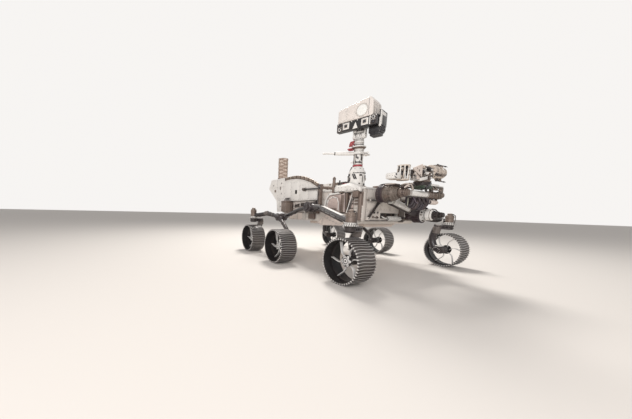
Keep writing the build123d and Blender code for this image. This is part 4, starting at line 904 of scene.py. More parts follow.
dress(cream_paint, "body_shell", "front_panel")
dress(pink_paint, "belly_box")
SIDE_PANELS = [
    # rear, front, foot, top and finish of the side wall's panels; 0 cream, 1 pinkish, 2 brown
    (-640, -500, 668, 790, 1), (-494, -250, 668, 790, 1), (-244, 20, 668, 790, 0), (-640, -560, 800, 990, 0),
    (-545, -330, 800, 992, 0), (-324, -120, 796, 992, 0), (-114, 60, 796, 992, 0), (180, 340, 850, 992, 0),
    (240, 346, 998, 1112, 0),
]
for name, hand in HANDS:
    walls = bmesh.new()
    wall = hand * BODY_HALF
    for rear, front, foot, top, look in SIDE_PANELS:
        skin(walls, (rear, wall, foot), (front, wall + hand * SKIN_PANEL, top), hand * Y, look, 3)
    for station in (-400, -180, 24):
        slab(walls, (station - 9, wall, 672), (station + 9, wall + hand * 16, 990), 3)
    slab(walls, (-560, wall, 791), (70, wall + hand * 14, 799), 2, 2)
    for station, foot, reach, tall in ((-60, 690, 150, 92), (110, 780, 70, 60), (-330, 830, 110, 70)):
        corners = (station, wall, foot), (station + reach, wall + hand * 34, foot + tall)
        slab(walls, *corners, 6, 2)
        screws_round(walls, *corners, hand * Y, 40, 3, 3.5, 9)
    side = wall + hand * 12
    for rise, thick in ((0, 8), (20, 6.5), (36, 8)):
        tubing(walls, [(-545, side, 890 + rise), (-420, side + hand * 6, 880 + rise),
                       (-280, side + hand * 10, 930 + rise), (-120, side, 900 + rise), (40, side + hand * 8,
                       905 + rise), (130, side, 960 + rise)], thick, 4)
    for station in (-480, -300, -120, 50):
        slab(walls, (station - 8, wall, 872), (station + 8, wall + hand * 30, 958), 3)
    slab(walls, (852, wall - hand * 38, 700), (1004, wall + hand * 18, 1080), 5)
    for step in range(9):
        low = 712 + 40 * step
        slab(walls, (866, wall + hand * 17, low), (924, wall + hand * 25, low + 26), 3, 2 if step > 4 else 0)
    skin(walls, (930, wall + hand * 4, 700), (1000, wall + hand * 26, 888), hand * Y, 0, 3, 60)
    skin(walls, (930, wall + hand * 4, 894), (1000, wall + hand * 30, 1078), hand * Y, 2, 3, 60)
    for rise in (724, 790, 888):
        slab(walls, (858, wall + hand * 17, rise), (1002, wall + hand * 31, rise + 12), 3, 1)
    piece("side_wall_fittings_" + name, walls, "chassis",
          (cream_paint, pink_paint, brown_paint, steel_screw, cable_wrap))

# Side fairings
# Wedge-shaped pinkish covers at the foot of the side walls, made of folded sheet with diagonal
# seams and a row of screws along each seam.
FAIRING_LINE = [(172, 642), (310, 738), (360, 777), (688, 699), (668, 622), (272, 602)]
FAIRING_SHEET = 4


def sheet(corners, step, ease):
    """A flat plate from its corners, made thick along a step, with eased edges."""
    part = bmesh.new()
    pull(part, [part.faces.new([part.verts.new(spot(corner)) for corner in corners])], step)
    bmesh.ops.recalc_face_normals(part, faces=part.faces)
    if ease:
        bmesh.ops.bevel(part, geom=part.edges[:], offset=ease / 1000, segments=2, profile=0.5,
                        affect="EDGES", material=-1)
    return part


for name, hand in HANDS:
    fairing = bmesh.new()
    lift = mm(0, hand * FAIRING_SHEET, 0)
    line = [at(station, hand * (BODY_HALF + 36), height) for station, height in FAIRING_LINE]
    for chosen_three in ((0, 1, 5), (1, 2, 3), (1, 3, 4), (1, 4, 5)):
        corners = [line[n] for n in chosen_three]
        middle = sum(corners, Vector()) / 3
        settle(fairing, sheet([middle + (corner - middle) * 0.965 for corner in corners], lift, 1.2))
        for start, end in zip(corners, corners[1:] + corners[:1]):
            studs(fairing, [middle + (start.lerp(end, share) - middle) * 0.86 + lift for share in (0.2, 0.4,
                0.6, 0.8)],
                  hand * Y, 4, 2.5, 1)
    piece("fairing_panels_" + name, fairing, "chassis", (pink_paint, steel_screw))

# Pods
# A round-topped door on the cap in each side recess. A white rail edges the recess at the rear and
# top; brown strips with pinkish pads and a thin white diagonal fill its front end.
POD_FACE = BODY_HALF + 60.0
POD_BOSS = BODY_HALF + 95.0
POD_RAIL = [(366, 806), (362, 925), (386, 1008), (446, 1066), (560, 1072), (640, 1078)]
POD_DOOR = [(440, 830), (436, 930), (470, 995), (540, 1025), (620, 1010), (655, 940), (655, 830)]
door_paint = finish("pod_door", (0.62, 0.50, 0.46), 0.42, dust=0.4, painted_shade=0.9, wear_and_highlight_colour=(0.8, 0.72, 0.66))
dress(door_paint, "side_pods")
for name, hand in HANDS:
    pod = bmesh.new()
    for (x0, z0), (x1, z1) in zip(POD_RAIL, POD_RAIL[1:]):
        for side, radius in ((664, 13), (612, 11)):
            bar(pod, (x0, hand * side, z0), (x1, hand * side, z1), radius, 0, 12, 4)
    for x, z in POD_RAIL:
        part = bmesh.new()
        bmesh.ops.create_uvsphere(part, u_segments=12, v_segments=8, radius=0.0135)
        settle(pod, part, Matrix.Translation(at(x, hand * 664, z)))
    slab(pod, (736, hand * 600, 796), (756, hand * 648, 1078), 4, 2)
    bar(pod, (764, hand * 652, 800), (838, hand * 640, 1070), 6, 0, 10)
    slab(pod, (760, hand * 562, 800), (850, hand * 606, 1066), 6, 2)
    for low in (812, 872, 934, 996):
        slab(pod, (768, hand * 604, low), (842, hand * 616, low + 46), 5, 1)
    for line, radius in ((((752, 620, 800), (790, 628, 860), (800, 630, 960), (850, 626, 1040)), 7),
                         (((770, 618, 800), (812, 624, 880), (824, 630, 980), (866, 624, 1050)), 6)):
        tubing(pod, [(x, hand * y, z) for x, y, z in line], radius, 3)
    for (x0, z0), (x1, z1) in zip(POD_DOOR, POD_DOOR[1:]):
        bar(pod, (x0, hand * POD_BOSS, z0), (x1, hand * POD_BOSS, z1), 6, 0, 10, 2)
    studs(pod, [(x, hand * (POD_BOSS + 0.5), z) for x, z in POD_DOOR + [
        (x * 0.9 + 55, z * 0.9 + 88) for x, z in POD_DOOR]], hand * Y, 5, 5, 3)
    for x0, z0, x1, z1 in ((486, 900, 520, 960), (540, 948, 590, 968), (560, 896, 604, 926)):
        slab(pod, (x0, hand * (POD_BOSS - 1), z0), (x1, hand * (POD_BOSS + 2.5), z1), 1, 1)
    slab(pod, (500, hand * (POD_BOSS - 1), 822), (620, hand * (POD_BOSS + 14), 862), 4, 2)
    screws_round(pod, (500, hand * POD_BOSS - 14, 822), (620, hand * POD_BOSS + 14, 862), hand * Y, 36, 3, 3,
        8)
    for x0, x1, top, look in ((395, 430, 985, 0), (664, 716, 1050, 2)):
        skin(pod, (x0, hand * (POD_FACE - 1), 812), (x1, hand * (POD_FACE + 4), top), hand * Y, look, 3, 50)
    piece("pod_frame_" + name, pod, "chassis", (white_paint, door_paint, brown_paint,
        steel_screw))

# Deck
# A flat white deck with a lip, screwed at its edges; low instrument boxes, cable trays and braided
# harness lie on it, with three dark domed ports beside the mast.
DECK_FACE = DECK_TOP + SKIN_PANEL
DECK_PANELS = [
    # rear, right, front and left edge
    (-895, -600, -300, -330), (-895, -320, -420, 60), (-895, 70, -420, 600), (-290, -600, 200, -80),
    (-120, 100, 200, 600), (325, 50, 480, 600), (325, -330, 600, 40), (735, 50, 1000, 600), (620, -300, 1000,
    40),
]
DECK_BOXES = [
    # rear, right, front and left edge, height and finish; 0 white, 1 cream, 2 brown
    (-860, 150, -640, 420, 90, 1), (-600, 330, -450, 560, 60, 0), (-840, -260, -560, -60, 70, 0),
    (-700, 450, -640, 570, 120, 2), (340, 330, 470, 560, 70, 1), (350, -40, 560, 30, 45, 2),
    (760, 120, 960, 420, 64, 0), (800, -190, 960, -60, 50, 2), (-80, 330, 120, 520, 85, 0),
]
dress(white_paint, "deck_plate")
dark_port = finish("dark_port", (0.014, 0.010, 0.012), 0.32, 0.2, dust=0.12, wear_and_highlight_colour=(0.2, 0.14, 0.14),
    coat=0.3)
red_paint = finish("red_band", (0.36, 0.026, 0.040), 0.45, dust=0.25, painted_shade=0.7, wear_and_highlight_colour=(0.6, 0.2, 0.2))
deck = bmesh.new()
for x0, y0, x1, y1 in DECK_PANELS:
    skin(deck, (x0, y0, DECK_TOP), (x1, y1, DECK_FACE), Z, 0, 3, 110)
for x0, y0, x1, y1, tall, look in DECK_BOXES:
    slab(deck, (x0, y0, DECK_FACE - 1), (x1, y1, DECK_FACE + tall), 8, look)
    slab(deck, (x0 - 12, y0 - 12, DECK_FACE - 1), (x1 + 12, y1 + 12, DECK_FACE + 6))
    screws_round(deck, (x0, y0, DECK_FACE), (x1, y1, DECK_FACE + tall), Z, 60, 3)
for station, side in ((600, -590), (648, -580), (698, -575)):
    turned(deck, (station, side, DECK_TOP), Z, [
        (0, 0), (0, 24), (6, 24), (8, 20), (62, 20), (64, 23), (88, 23), (96, 20), (103, 12), (106, 0)], 5,
        24)
    turned(deck, (station, side, DECK_TOP + 70), Z, [(0, 22), (0, 24.5), (7, 24.5), (7, 22)], 6, 24)
for side, lift in ((-360, 12), (-345, 12), (-352, 23)):
    tubing(deck, [(station, side + aside, DECK_TOP + lift) for station, aside in (
        (-560, 0), (-300, 20), (0, -8), (240, 10), (480, -10), (660, -20))], 8, 4)
for station in range(-520, 660, 120):
    slab(deck, (station, -376, DECK_TOP), (station + 14, -326, DECK_TOP + 32), 3)
for hand in (-1, 1):
    studs(deck, [(-880 + 128 * step, hand * 610, DECK_TOP - 10) for step in range(15)], hand * Y, 4.5, 3, 3)
piece("deck_fittings", deck, "chassis",
      (white_paint, cream_paint, brown_paint, steel_screw, cable_wrap, dark_port, red_paint))

# Side panels and coolant tubes
# Low white walls above the deck with a long falling edge, stiffened by a rolled lip; a bundle of
# brown coolant tubes in clamps follows the edge.
PANEL_SIDE = 650
EDGE_CREST, EDGE_BOW, EDGE_FOOT = Vector((-600, 1392)), Vector((-180, 1342)), Vector((160, 1195))
EDGE_REAR_SLOPE = 7 / 185
bronze_tube = finish("coolant_tube", (0.34, 0.275, 0.225), 0.4, 0.4, dust=0.4, wear_and_highlight_colour=(0.6, 0.53, 0.46))
panel_paint = finish("side_panel_paint", (0.89, 0.865, 0.83), 0.4, dust=0.15, painted_shade=0.7, wear_and_highlight_colour=(0.95, 0.93,
    0.91))
dress(panel_paint, "side_panels", "heat_exchangers")
dress(bronze_tube, "coolant_tubes")


def panel_edge(station):
    """Height of the side panel's upper edge, a long arc that falls to the front."""
    if station < EDGE_CREST.x:
        return EDGE_CREST.y + (station - EDGE_CREST.x) * EDGE_REAR_SLOPE
    first, second = (EDGE_CREST + EDGE_BOW) / 2, (EDGE_BOW + EDGE_FOOT) / 2
    one, two = (EDGE_BOW - EDGE_CREST).orthogonal(), (EDGE_FOOT - EDGE_BOW).orthogonal()
    reach = ((second - first).x * two.y - (second - first).y * two.x) / (one.x * two.y - one.y * two.x)
    centre = first + one * reach
    span = (EDGE_CREST - centre).length
    return centre.y + (span ** 2 - (station - centre.x) ** 2) ** 0.5


for name, hand in HANDS:
    wall = bmesh.new()
    out = hand * PANEL_SIDE
    tubing(wall, [(station, out + hand, panel_edge(station) - 9) for station in range(-780, 161, 94)], 7, 0,
        3, 12)
    for rear, front in ((-775, -560), (-552, -300), (-292, -60), (-52, 152)):
        top = min(panel_edge(rear), panel_edge(front)) - 34
        skin(wall, (rear, out - hand, 1008), (front, out + hand * 3, top), hand * Y, 0, 2, 70)
    for step in range(17):
        station = -760 + 56 * step
        slope = (panel_edge(station + 5) - panel_edge(station - 5)) / 10
        chip(wall, (station, hand * 630, panel_edge(station) + 26), (12, 36, 64), 3, 1 if step % 2 else 3,
             Matrix.Rotation(-slope, 4, "Y"))
    for row in (0, 1):
        for step in range(8):
            ends = [-740 + 112 * step, -684 + 112 * step]
            start, end = ends if row else reversed(ends)
            bar(wall, (start, hand * 640, panel_edge(start) + 12), (end, hand * 640, panel_edge(end) + 50),
                4, 1, 8)
    slab(wall, (-430, out, 1120), (-372, out + hand * 3, 1190), 3, 3)
    turned(wall, (-140, out, 1180), hand * Y, [
        (0, 0), (0, 30), (3, 30), (4, 27), (4, 20), (2, 18), (2, 0)], 3, 24)
    piece("panel_fittings_" + name, wall, "chassis",
          (panel_paint, bronze_tube, steel_screw, brown_paint))

# Heat exchangers
# White honeycomb plates that flank the power unit, stood off on brackets, with a framed edge,
# screwed panels, three straight coolant runs and an access plate.
EXCHANGER_EDGE = [(-1359, 1272), (-1268, 1441), (-791, 1441), (-791, 806), (-1018, 796), (-1046, 1010),
    (-1359, 1272)]
for name, hand in HANDS:
    plate = bmesh.new()
    out = hand * PANEL_SIDE
    for (x0, z0), (x1, z1) in zip(EXCHANGER_EDGE, EXCHANGER_EDGE[1:]):
        bar(plate, (x0, out - hand * 6, z0), (x1, out - hand * 6, z1), 7.5, 0, 10, 2)
    for rear, front, foot, top in ((-1240, -1040, 1270, 1425), (-1034, -806, 1270, 1425), (-1025, -806, 1040,
            1262),
                                   (-1000, -806, 820, 1032)):
        skin(plate, (rear, out - hand, foot), (front, out + hand * 3, top), hand * Y, 0, 2, 60)
    for low in (1075, 1130, 1185):
        bar(plate, (-1015, out + hand * 3, low), (-815, out + hand * 3, low), 5, 0, 10)
    for rear, front, thick, foot, top, ease, look in ((-985, -940, 12, 860, 1010, 4, 0), (-930, -905, 8,
            1225, 1290, 3, 3),
                                                      (-1130, -1085, 10, 1190, 1235, 3, 3)):
        slab(plate, (rear, out - hand, foot), (front, out + hand * thick, top), ease, look)
    for station, height in ((-1180, 1330), (-880, 1350), (-880, 1150), (-900, 900)):
        turned(plate, (station, out, height), hand * Y, [
            (0, 0), (0, 16), (5, 16), (7, 12), (7, 6), (4, 5), (4, 0)], 2, 20)
    for foot in (900, 1180, 1400):
        slab(plate, (-870, hand * 600, foot), (-830, hand * 612, foot + 30), 3, 3)
    piece("exchanger_fittings_" + name, plate, "chassis",
          (panel_paint, bronze_tube, steel_screw, brown_paint))

# Equipment boxes
# Brown-grey upright boxes on the side walls, with cooling ribs, lids and a connector row.
equipment_grey = finish("equipment_grey", (0.27, 0.215, 0.185), 0.45, 0.2, dust=0.4, painted_shade=0.8,
                        wear_and_highlight_colour=(0.5, 0.44, 0.38))
dress(equipment_grey, "equipment_boxes")
boxes = bmesh.new()
for hand in (-1, 1):
    out = hand * 750
    for station in range(-712, -560, 31):
        slab(boxes, (station, out - hand * 2, 812), (station + 18, out + hand * 5, 960))
    slab(boxes, (-724, hand * 604, 966), (-556, out + hand * 3, 999), 3, 1)
    for station in range(-700, -560, 40):
        place = at(station, hand * 690, 999)
        turned(boxes, place, Z, [(0, 0), (0, 13), (16, 13), (18, 10), (18, 0)], 2, 16)
        tubing(boxes, [place + mm(0, 0, 16), place + mm(0, hand * -10, 50), place + mm(10, hand * -50, 60),
                       (station + 10, hand * 652, 1012)], 6, 3, 3)
    screws_round(boxes, (-735, hand * 620, 782), (-545, hand * 708, 799), hand * Y, 40, 2)
    slab(boxes, (-556, hand * 602, 820), (-535, hand * 640, 980), 4, 1)
piece("equipment_box_fittings", boxes, "chassis",
      (equipment_grey, bronze_paint, steel_screw, cable_wrap))

# Hood and posts
# A folded white hood covers the right front corner beside the mast. Short black posts stand behind
# it, a slender brown post beside them, and a brown rail carries the corner.
dress(panel_paint, "corner_cover")
dress(brown_paint, "edge_posts")
hood = bmesh.new()
for x0, x1, top in ((552, 755, 1160), (770, 945, 1130)):
    skin(hood, (x0, -681.5, 1098), (x1, -678, top), -Y, 0, 1, 60)
tubing(hood, [(station, -646, height) for station, height in (
    (534, 1176), (660, 1190), (788, 1206), (880, 1170), (962, 1137))], 5, 0, 3, 10)
studs(hood, [(548 + 36 * step, -625, 1177.5 + 4.15 * step) for step in range(7)], Vector((-0.115, 0, 0.99)),
    4.5, 4, 1)
slab(hood, (870, -684, 1010), (958, -640, 1088), 5, 2)
for station, side, tall in ((590, -628, 1262), (566, -622, 1236), (612, -618, 1224)):
    bar(hood, (station, side, 1180), (station, side, tall), 8, 3, 12, 2)
    bar(hood, (station, side, tall - 20), (station, side, tall - 4), 11, 3, 12, 2)
slab(hood, (640, -683, 1076), (700, -650, 1090), 3, 2)
turned(hood, (486, -632, 1120), Z, [
    (0, 18), (0, 26), (30, 26), (32, 22), (60, 22), (62, 27), (74, 27), (76, 18)], 2, 20)
turned(hood, (486, -632, 1285), Z, [(0, 16), (0, 24), (10, 24), (12, 16)], 3, 20)
piece("hood_and_post_fittings", hood, "chassis", (panel_paint, steel_screw, brown_paint,
    black_mark))

# Front panel and tool bay
# A cream cover over the sample-handling bay: framed slots, a dark handrail and diagonal brace, and in
# the open bay a dark mechanism with a white braided coil hung in front of it.
PANEL_FACE = BODY_FRONT + 12
COIL_TURNS = 9
COIL_STEPS = 10 * COIL_TURNS
dark_works = finish("dark_works", (0.011, 0.009, 0.010), 0.42, 0.2, dust=0.15, wear_and_highlight_colour=(0.18, 0.15, 0.15))
braid_paint = finish("white_braid", (0.86, 0.85, 0.82), 0.65, dust=0.2, painted_shade=1.0, relief=0.5,
    relief_scale=420.0)
front = bmesh.new()
for side_low, side_high, foot, top in ((-552, -275, 845, 950), (-552, -275, 1000, 1108), (-262, -60, 845,
        1108),
                                       (-52, 157, 845, 1108), (-552, -480, 716, 838)):
    skin(front, (PANEL_FACE, side_low, foot), (PANEL_FACE + 3, side_high, top), X, 0, 3, 60)
for low, high in ((-470, -370), (-340, -300)):
    for edge in (797, 827):
        slab(front, (PANEL_FACE - 1, low - 5, edge), (PANEL_FACE + 6, high + 5, edge + 6))
    slab(front, (1002, low, 800), (1005, high, 830), 0.5, 2)
for edge in (-568, -262):
    slab(front, (1018, edge - 8, 966), (1032, edge + 8, 984), 3, 1)
for side in (-420, -340):
    turned(front, (1010, side, 756), X, [(0, 0), (0, 14), (8, 14), (10, 11), (16, 11), (16, 0)], 1, 16)
tubing(front, [(1030, -420, 756), (1046, -420, 750), (1050, -380, 738), (1046, -340, 748), (1028, -340,
    756)], 5, 4, 3)
slab(front, (998, -560, 700), (1030, 300, 710), 3, 2)
slab(front, (1000, 150, 712), (1016, 186, 1110), 4, 1)
slab(front, (994, 322, 705), (1000.5, 590, 1108), 0.5)
screws_round(front, (994, 322, 705), (1000.5, 590, 1108), X, 70, 3)
slab(front, (1000, 472, 760), (1034, 560, 900), 8, 1)
slab(front, (1000, 380, 940), (1030, 540, 1070), 6, 2)
slab(front, (872, -262, 738), (880, 147, 809), 2, 2)
for step in range(9):
    side = -250 + 46 * step
    turned(front, (950, side, 744), Z, [
        (0, 0), (0, 17), (10, 19), (14, 15), (44, 15), (46, 19), (54, 19), (58, 12), (62, 12), (62, 0)],
        (2, 1, 2)[step % 3], 18)
    slab(front, (884, side - 14, 745), (936, side + 14, 790), 3, (1, 2)[step % 2])
for row, height in ((992, 752), (968, 766)):
    tubing(front, [(row + 8 * cos(step * 1.9), -200 + 20 * step,
        height + 7 * sin(step * 2.6)) for step in range(17)],
           9, 4)
coil = [(1030 + 20 * cos(angle), -120 + 250 * step / COIL_STEPS, 738 + 24 * sin(angle))
        for step, angle in ((step, tau * step / 10) for step in range(COIL_STEPS + 1))]
slip = [(1028 + 17 * cos(angle), 132 + 1.9 * step, 735 + 20 * sin(angle))
        for step, angle in ((step, tau * step / 9) for step in range(28))]
tubing(front, coil, 10, 5, 4, 10)
tubing(front, slip, 8, 5, 4, 10)
tubing(front, [(1020, -118, 742), (1024, -160, 735), (1022, -200, 742), (1012, -230, 765)], 9, 5, 4, 10)
BRACE = at(1028, -545, 725), at(1028, -320, 965)
for share in (0.12, 0.5, 0.88):
    turned(front, BRACE[0].lerp(BRACE[1], share), mm(0, 225, 240), [(0, 12), (0, 18), (14, 18), (14, 12)], 2,
        16)
piece("front_fittings", front, "chassis",
      (cream_paint, brown_paint, dark_works, steel_screw, cable_wrap, braid_paint))
rail_shape = bmesh.new()
bar(rail_shape, (1028, -550, 975), (1028, -270, 975), 10.5, 0, 20, 3)
bar(rail_shape, *BRACE, 15, 0, 20, 3)
piece("handrail_and_brace", rail_shape, "chassis", (gloss_dark,))

# Differential
# A brown titanium bar pivots on the deck and is pinned at each end to a link from the rocker. A rod
# with a black ball end runs back along the right side.
DIFF_STATION = 262
BALL_R = 0.0262
dress(brown_paint, "differential_bar", "differential_links")
diff = bmesh.new()
turned(diff, (DIFF_STATION, 0, DECK_TOP), Z, [
    (0, 0), (0, 84), (8, 84), (10, 72), (20, 70), (24, 63), (70, 63), (74, 58), (74, 40), (84, 38), (86, 20),
    (86, 0)], 0, 40)
studs(diff, ring((DIFF_STATION, 0, DECK_TOP + 8), 77, 12), Z, 5, 5, 2)
for hand in (-1, 1):
    for side in (90, 300, 520):
        turned(diff, (DIFF_STATION, hand * side, 1185), hand * Y, [
            (0, 21), (0, 27), (4, 29), (26, 29), (30, 27), (30, 21)], 0, 24)
    out = hand * 685
    slab(diff, (232, out - 27, 1150), (292, out + 27, 1226), 8, 1)
    turned(diff, (DIFF_STATION, out - hand * 34, 1188), hand * Y, [
        (0, 0), (0, 20), (4, 24), (64, 24), (68, 20), (68, 12), (74, 10), (74, 0)], 3, 24)
    for height in (930, 1020, 1110):
        slab(diff, (228, out - 23, height), (296, out + 23, height + 26), 5)
    for station, look in ((240, 3), (284, 0)):
        bar(diff, (station, out + hand * 24, 925), (station, out + hand * 24, 1130), 7, look, 12)
    studs(diff, [(DIFF_STATION, out + hand * 20.5, height) for height in (955, 990, 1062, 1090)], hand * Y,
        6, 5, 2)
tip = at(-150, -685, 1181)
ball = bmesh.new()
bmesh.ops.create_uvsphere(ball, u_segments=28, v_segments=16, radius=BALL_R)
settle(diff, ball, Matrix.Translation(tip), 1)
turned(diff, tip, at(228, -685, 1170) - tip, [(18, 0), (18, 13), (34, 15), (46, 15), (50, 12.5), (366, 12.5),
                                              (370, 17), (384, 17), (384, 0)], 3, 20)
piece("differential_fittings", diff, "chassis", (brown_paint, dark_port, steel_screw,
    gloss_dark))

# Power unit
# A finned cylinder tipped up behind the body: a grey-white core, eight cropped radiator fins with a
# rolled edge and raised pads, and an end cap with a ring of bolts.
POWER_FOOT = at(-1016, 0, 960)
POWER_LEAN = radians(30)
FIN_EDGE = [
    # both ends of each rod round a fin, in millimetres out from the core's axis and along it
    (252, 45, 252, 335), (150, -2, 211, -2), (211, -2, 252, 45), (150, 374.5, 211, 374.5), (211, 374.5, 252,
    335)]
fin_paint = finish("fin_paint", (0.56, 0.54, 0.51), 0.42, 0.1, dust=0.35, painted_shade=0.9, wear_and_highlight_colour=(0.75, 0.73, 0.7))
dress(fin_paint, "power_unit")
power_way = Vector((-cos(POWER_LEAN), 0, sin(POWER_LEAN)))
power = bmesh.new()
turned(power, POWER_FOOT, power_way, [
    (-6, 0), (-6, 120), (0, 152), (10, 156), (20, 156), (24, 151), (120, 151), (124, 155), (136, 155),
    (140, 151), (250, 151), (254, 155), (266, 155), (270, 151), (356, 151), (360, 157), (376, 157),
    (381, 150), (381, 108), (396, 102), (408, 96), (411, 60), (418, 56), (420, 0)], 0, 64)
studs(power, [POWER_FOOT + power_way * 0.381 + (power_way.cross(Y) * cos(angle) + Y * sin(angle)) * 0.128
              for angle in [radians(20 * n) for n in range(18)]], power_way, 6, 5, 1)
for turn in range(8):
    fin_turn = pointed(power_way) @ Matrix.Rotation(tau * (turn + 0.5) / 8, 4, "Z")
    fin_place = Matrix.Translation(POWER_FOOT) @ fin_turn
    for x0, z0, x1, z1 in FIN_EDGE:
        bar(power, fin_place @ mm(x0, 0, z0), fin_place @ mm(x1, 0, z1), 7, 0, 10)
    for reach in (95, 185, 275):
        chip(power, fin_place @ mm(202, 0, reach), (85, 14, 58), 2, 0, fin_turn)
    for reach in (20, 190, 360):
        chip(power, fin_place @ mm(158, 0, reach), (30, 34, 16), 3, 0, fin_turn)
for lean in (-150, 150):
    for height, reach, lift in ((1060, 0.10, 20), (860, 0.06, -20)):
        bar(power, (-902, lean * 1.6, height), POWER_FOOT + power_way * reach + mm(0, lean, lift), 13, 1, 16)
turned(power, (-899, 0, 930), -X, [(0, 0), (0, 104), (8, 104), (12, 90), (110, 88), (118, 94), (130, 94)], 0,
    40)
for lift in (0, 22):
    for hand in (1, -1):
        tubing(power, [(-902, hand * 330, 1080 + lift), (-960, hand * 320, 1090 + lift), (-1040, hand * 250,
            1075 + lift),
                       (-1060, hand * 170, 1060 + lift), (-1050, hand * 120, 1050)], 9, 1, 4, 10)
piece("power_unit_fittings", power, "chassis", (fin_paint, bronze_tube))

# Relay antenna
# A pale tan speckled drum wound with thin helical conductors, on a braced post; foil-like patches
# show between the windings.
ANTENNA = (-1010, -545)
ANTENNA_FOOT, ANTENNA_TOP = 1460, 1850


def antenna_pattern(tree, place):
    """Fine crossed windings with pale and brown patches."""
    middle = at(*ANTENNA, 0)
    moved = node(tree, "Mapping", {"Vector": place, "Location": (-middle.x, -middle.y, 0)}).outputs[0]
    parts = node(tree, "SeparateXYZ", {0: moved})
    angle = math_node(tree, "ARCTAN2", parts.outputs["Y"], parts.outputs["X"])
    rows = []
    for way in (1, -1):
        phase = math_node(tree, "MULTIPLY_ADD", angle, 3.0 * way, math_node(tree, "MULTIPLY",
            parts.outputs["Z"], 92.0))
        rows.append(math_node(tree, "GREATER_THAN", math_node(tree, "SINE", phase), 0.55))
    cross = math_node(tree, "MAXIMUM", rows[0], rows[1])
    cells = node(tree, "TexVoronoi", {"Vector": place, "Scale": 34.0}).outputs["Color"]
    tone = node(tree, "SeparateXYZ", {0: cells}).outputs["X"]
    field = blend_colours(tree, tone, (0.52, 0.41, 0.34, 1), (0.80, 0.70, 0.62, 1))
    return blend_colours(tree, cross, field, (0.34, 0.25, 0.20, 1)), cross


antenna_skin = finish("antenna_skin", cream, 0.55, dust=0.3, painted_shade=0.8, relief=0.5, pattern=antenna_pattern)
dress(antenna_skin, "relay_antenna")
antenna = bmesh.new()
for height in (0, 96, 194, 292, 376):
    turned(antenna, (*ANTENNA, ANTENNA_FOOT + height), Z, [
        (0, 90), (0, 96.5), (3, 98), (11, 98), (14, 96.5), (14, 90)], 0, 48)
for way in (1, -1):
    for start in range(3):
        line = [(step, tau * start / 3 + way * tau * 1.25 * step / 40) for step in range(41)]
        tubing(antenna, [(ANTENNA[0] + 95.5 * cos(angle), ANTENNA[1] + 95.5 * sin(angle),
                          ANTENNA_FOOT + 12 + 365 * step / 40) for step, angle in line], 2.6, 0, 4, 6)
turned(antenna, (*ANTENNA, ANTENNA_TOP - 1), Z, [(0, 0), (0, 91), (2, 90), (4, 40), (10, 36), (12, 0)], 0,
    48)
studs(antenna, ring((*ANTENNA, ANTENNA_TOP), 78, 8), Z, 4, 4, 1)
for height, radius in ((1130, 44), (1200, 33), (1300, 33), (1335, 36)):
    turned(antenna, (*ANTENNA, height), Z, [
        (0, 0), (0, radius), (3, radius + 2), (13, radius + 2), (16, radius), (16, 0)], 1, 24)
tubing(antenna, [(-985, -575, 1122), (-975, -585, 1180), (-972, -582, 1300), (-978, -575, 1400), (-985, -565,
    1462)],
       6, 2)
piece("antenna_fittings", antenna, "chassis", (antenna_skin, brown_paint, cable_wrap))

# High-gain dish
# A six-sided flat antenna: a pale face of small square elements in a raised frame, ribbed at the
# back, on a two-axis gimbal with a drum base.
DISH_MIDDLE = (-424, 200)
DISH_AXIS = (-250, 200)


def dish_pattern(tree, place):
    """Rows of small square elements."""
    parts = node(tree, "SeparateXYZ", {0: place})
    lines = []
    for name in ("X", "Y"):
        share = math_node(tree, "FRACT", math_node(tree, "MULTIPLY", parts.outputs[name], 62.0))
        lines.append(math_node(tree, "LESS_THAN", share, 0.2))
    grid = math_node(tree, "MAXIMUM", lines[0], lines[1])
    face = blend_colours(tree, grid, (0.70, 0.68, 0.64, 1), (0.40, 0.36, 0.33, 1))
    return face, math_node(tree, "SUBTRACT", 1.0, grid)


dish_face = finish("dish_face", cream, 0.5, dust=0.3, relief=0.4, pattern=dish_pattern)
dress(dish_face, "dish_plate")
dress(white_paint, "dish_base")
dress(bronze_paint, "dish_gimbal")
dish = bmesh.new()
for height in (1290, 1310):
    rim = ring((*DISH_MIDDLE, height), 145, 6)
    for start, end in zip(rim, rim[1:] + rim[:1]):
        bar(dish, start, end, 5.5, 0, 10, 1)
for step in range(3):
    chip(dish, (*DISH_MIDDLE, 1286.5), (256, 10, 9), 1.5, 0, Matrix.Rotation(tau * step / 6, 4, "Z"))
turned(dish, (*DISH_MIDDLE, 1286), -Z, [(-3, 0), (-3, 40), (4, 40), (8, 30), (8, 0)], 1, 24)
for hand in (-1, 1):
    slab(dish, (-345, 200 + hand * 28 - 7, 1262), (-262, 200 + hand * 28 + 7, 1287), 3, 1)
    turned(dish, (-250, 200 + hand * 22.6, 1265), hand * Y, [
        (0, 0), (0, 22), (12, 22), (14, 16), (17, 14), (17, 0)], 1, 24)
piece("dish_fittings", dish, "dish", (white_paint, bronze_paint))
gimbal = bmesh.new()
turned(gimbal, (*DISH_AXIS, 1200.6), Z, [
    (0, 0), (0, 56), (3, 58), (14, 58), (17, 54), (30, 54), (34, 50), (35, 0)], 0, 40)
studs(gimbal, ring((*DISH_AXIS, 1235), 44, 8), Z, 4, 4, 1)
slab(gimbal, (-272, 181, 1234), (-228, 219, 1262), 6)
piece("gimbal_fittings", gimbal, "dish_mount", (bronze_paint, steel_screw))
base = bmesh.new()
turned(base, (*DISH_AXIS, DECK_TOP), Z, [
    (0, 0), (0, 76), (8, 76), (10, 63), (44, 62), (48, 66), (57, 66), (59.4, 62), (59.4, 0)], 0, 48)
studs(base, ring((*DISH_AXIS, DECK_TOP + 8), 69, 8), Z, 4, 4, 1)
tubing(base, [(-196, 200, DECK_TOP + 30), (-170, 205, DECK_TOP + 26), (-140, 230, DECK_TOP + 10),
              (-128, 300, DECK_TOP + 9)], 7, 2)
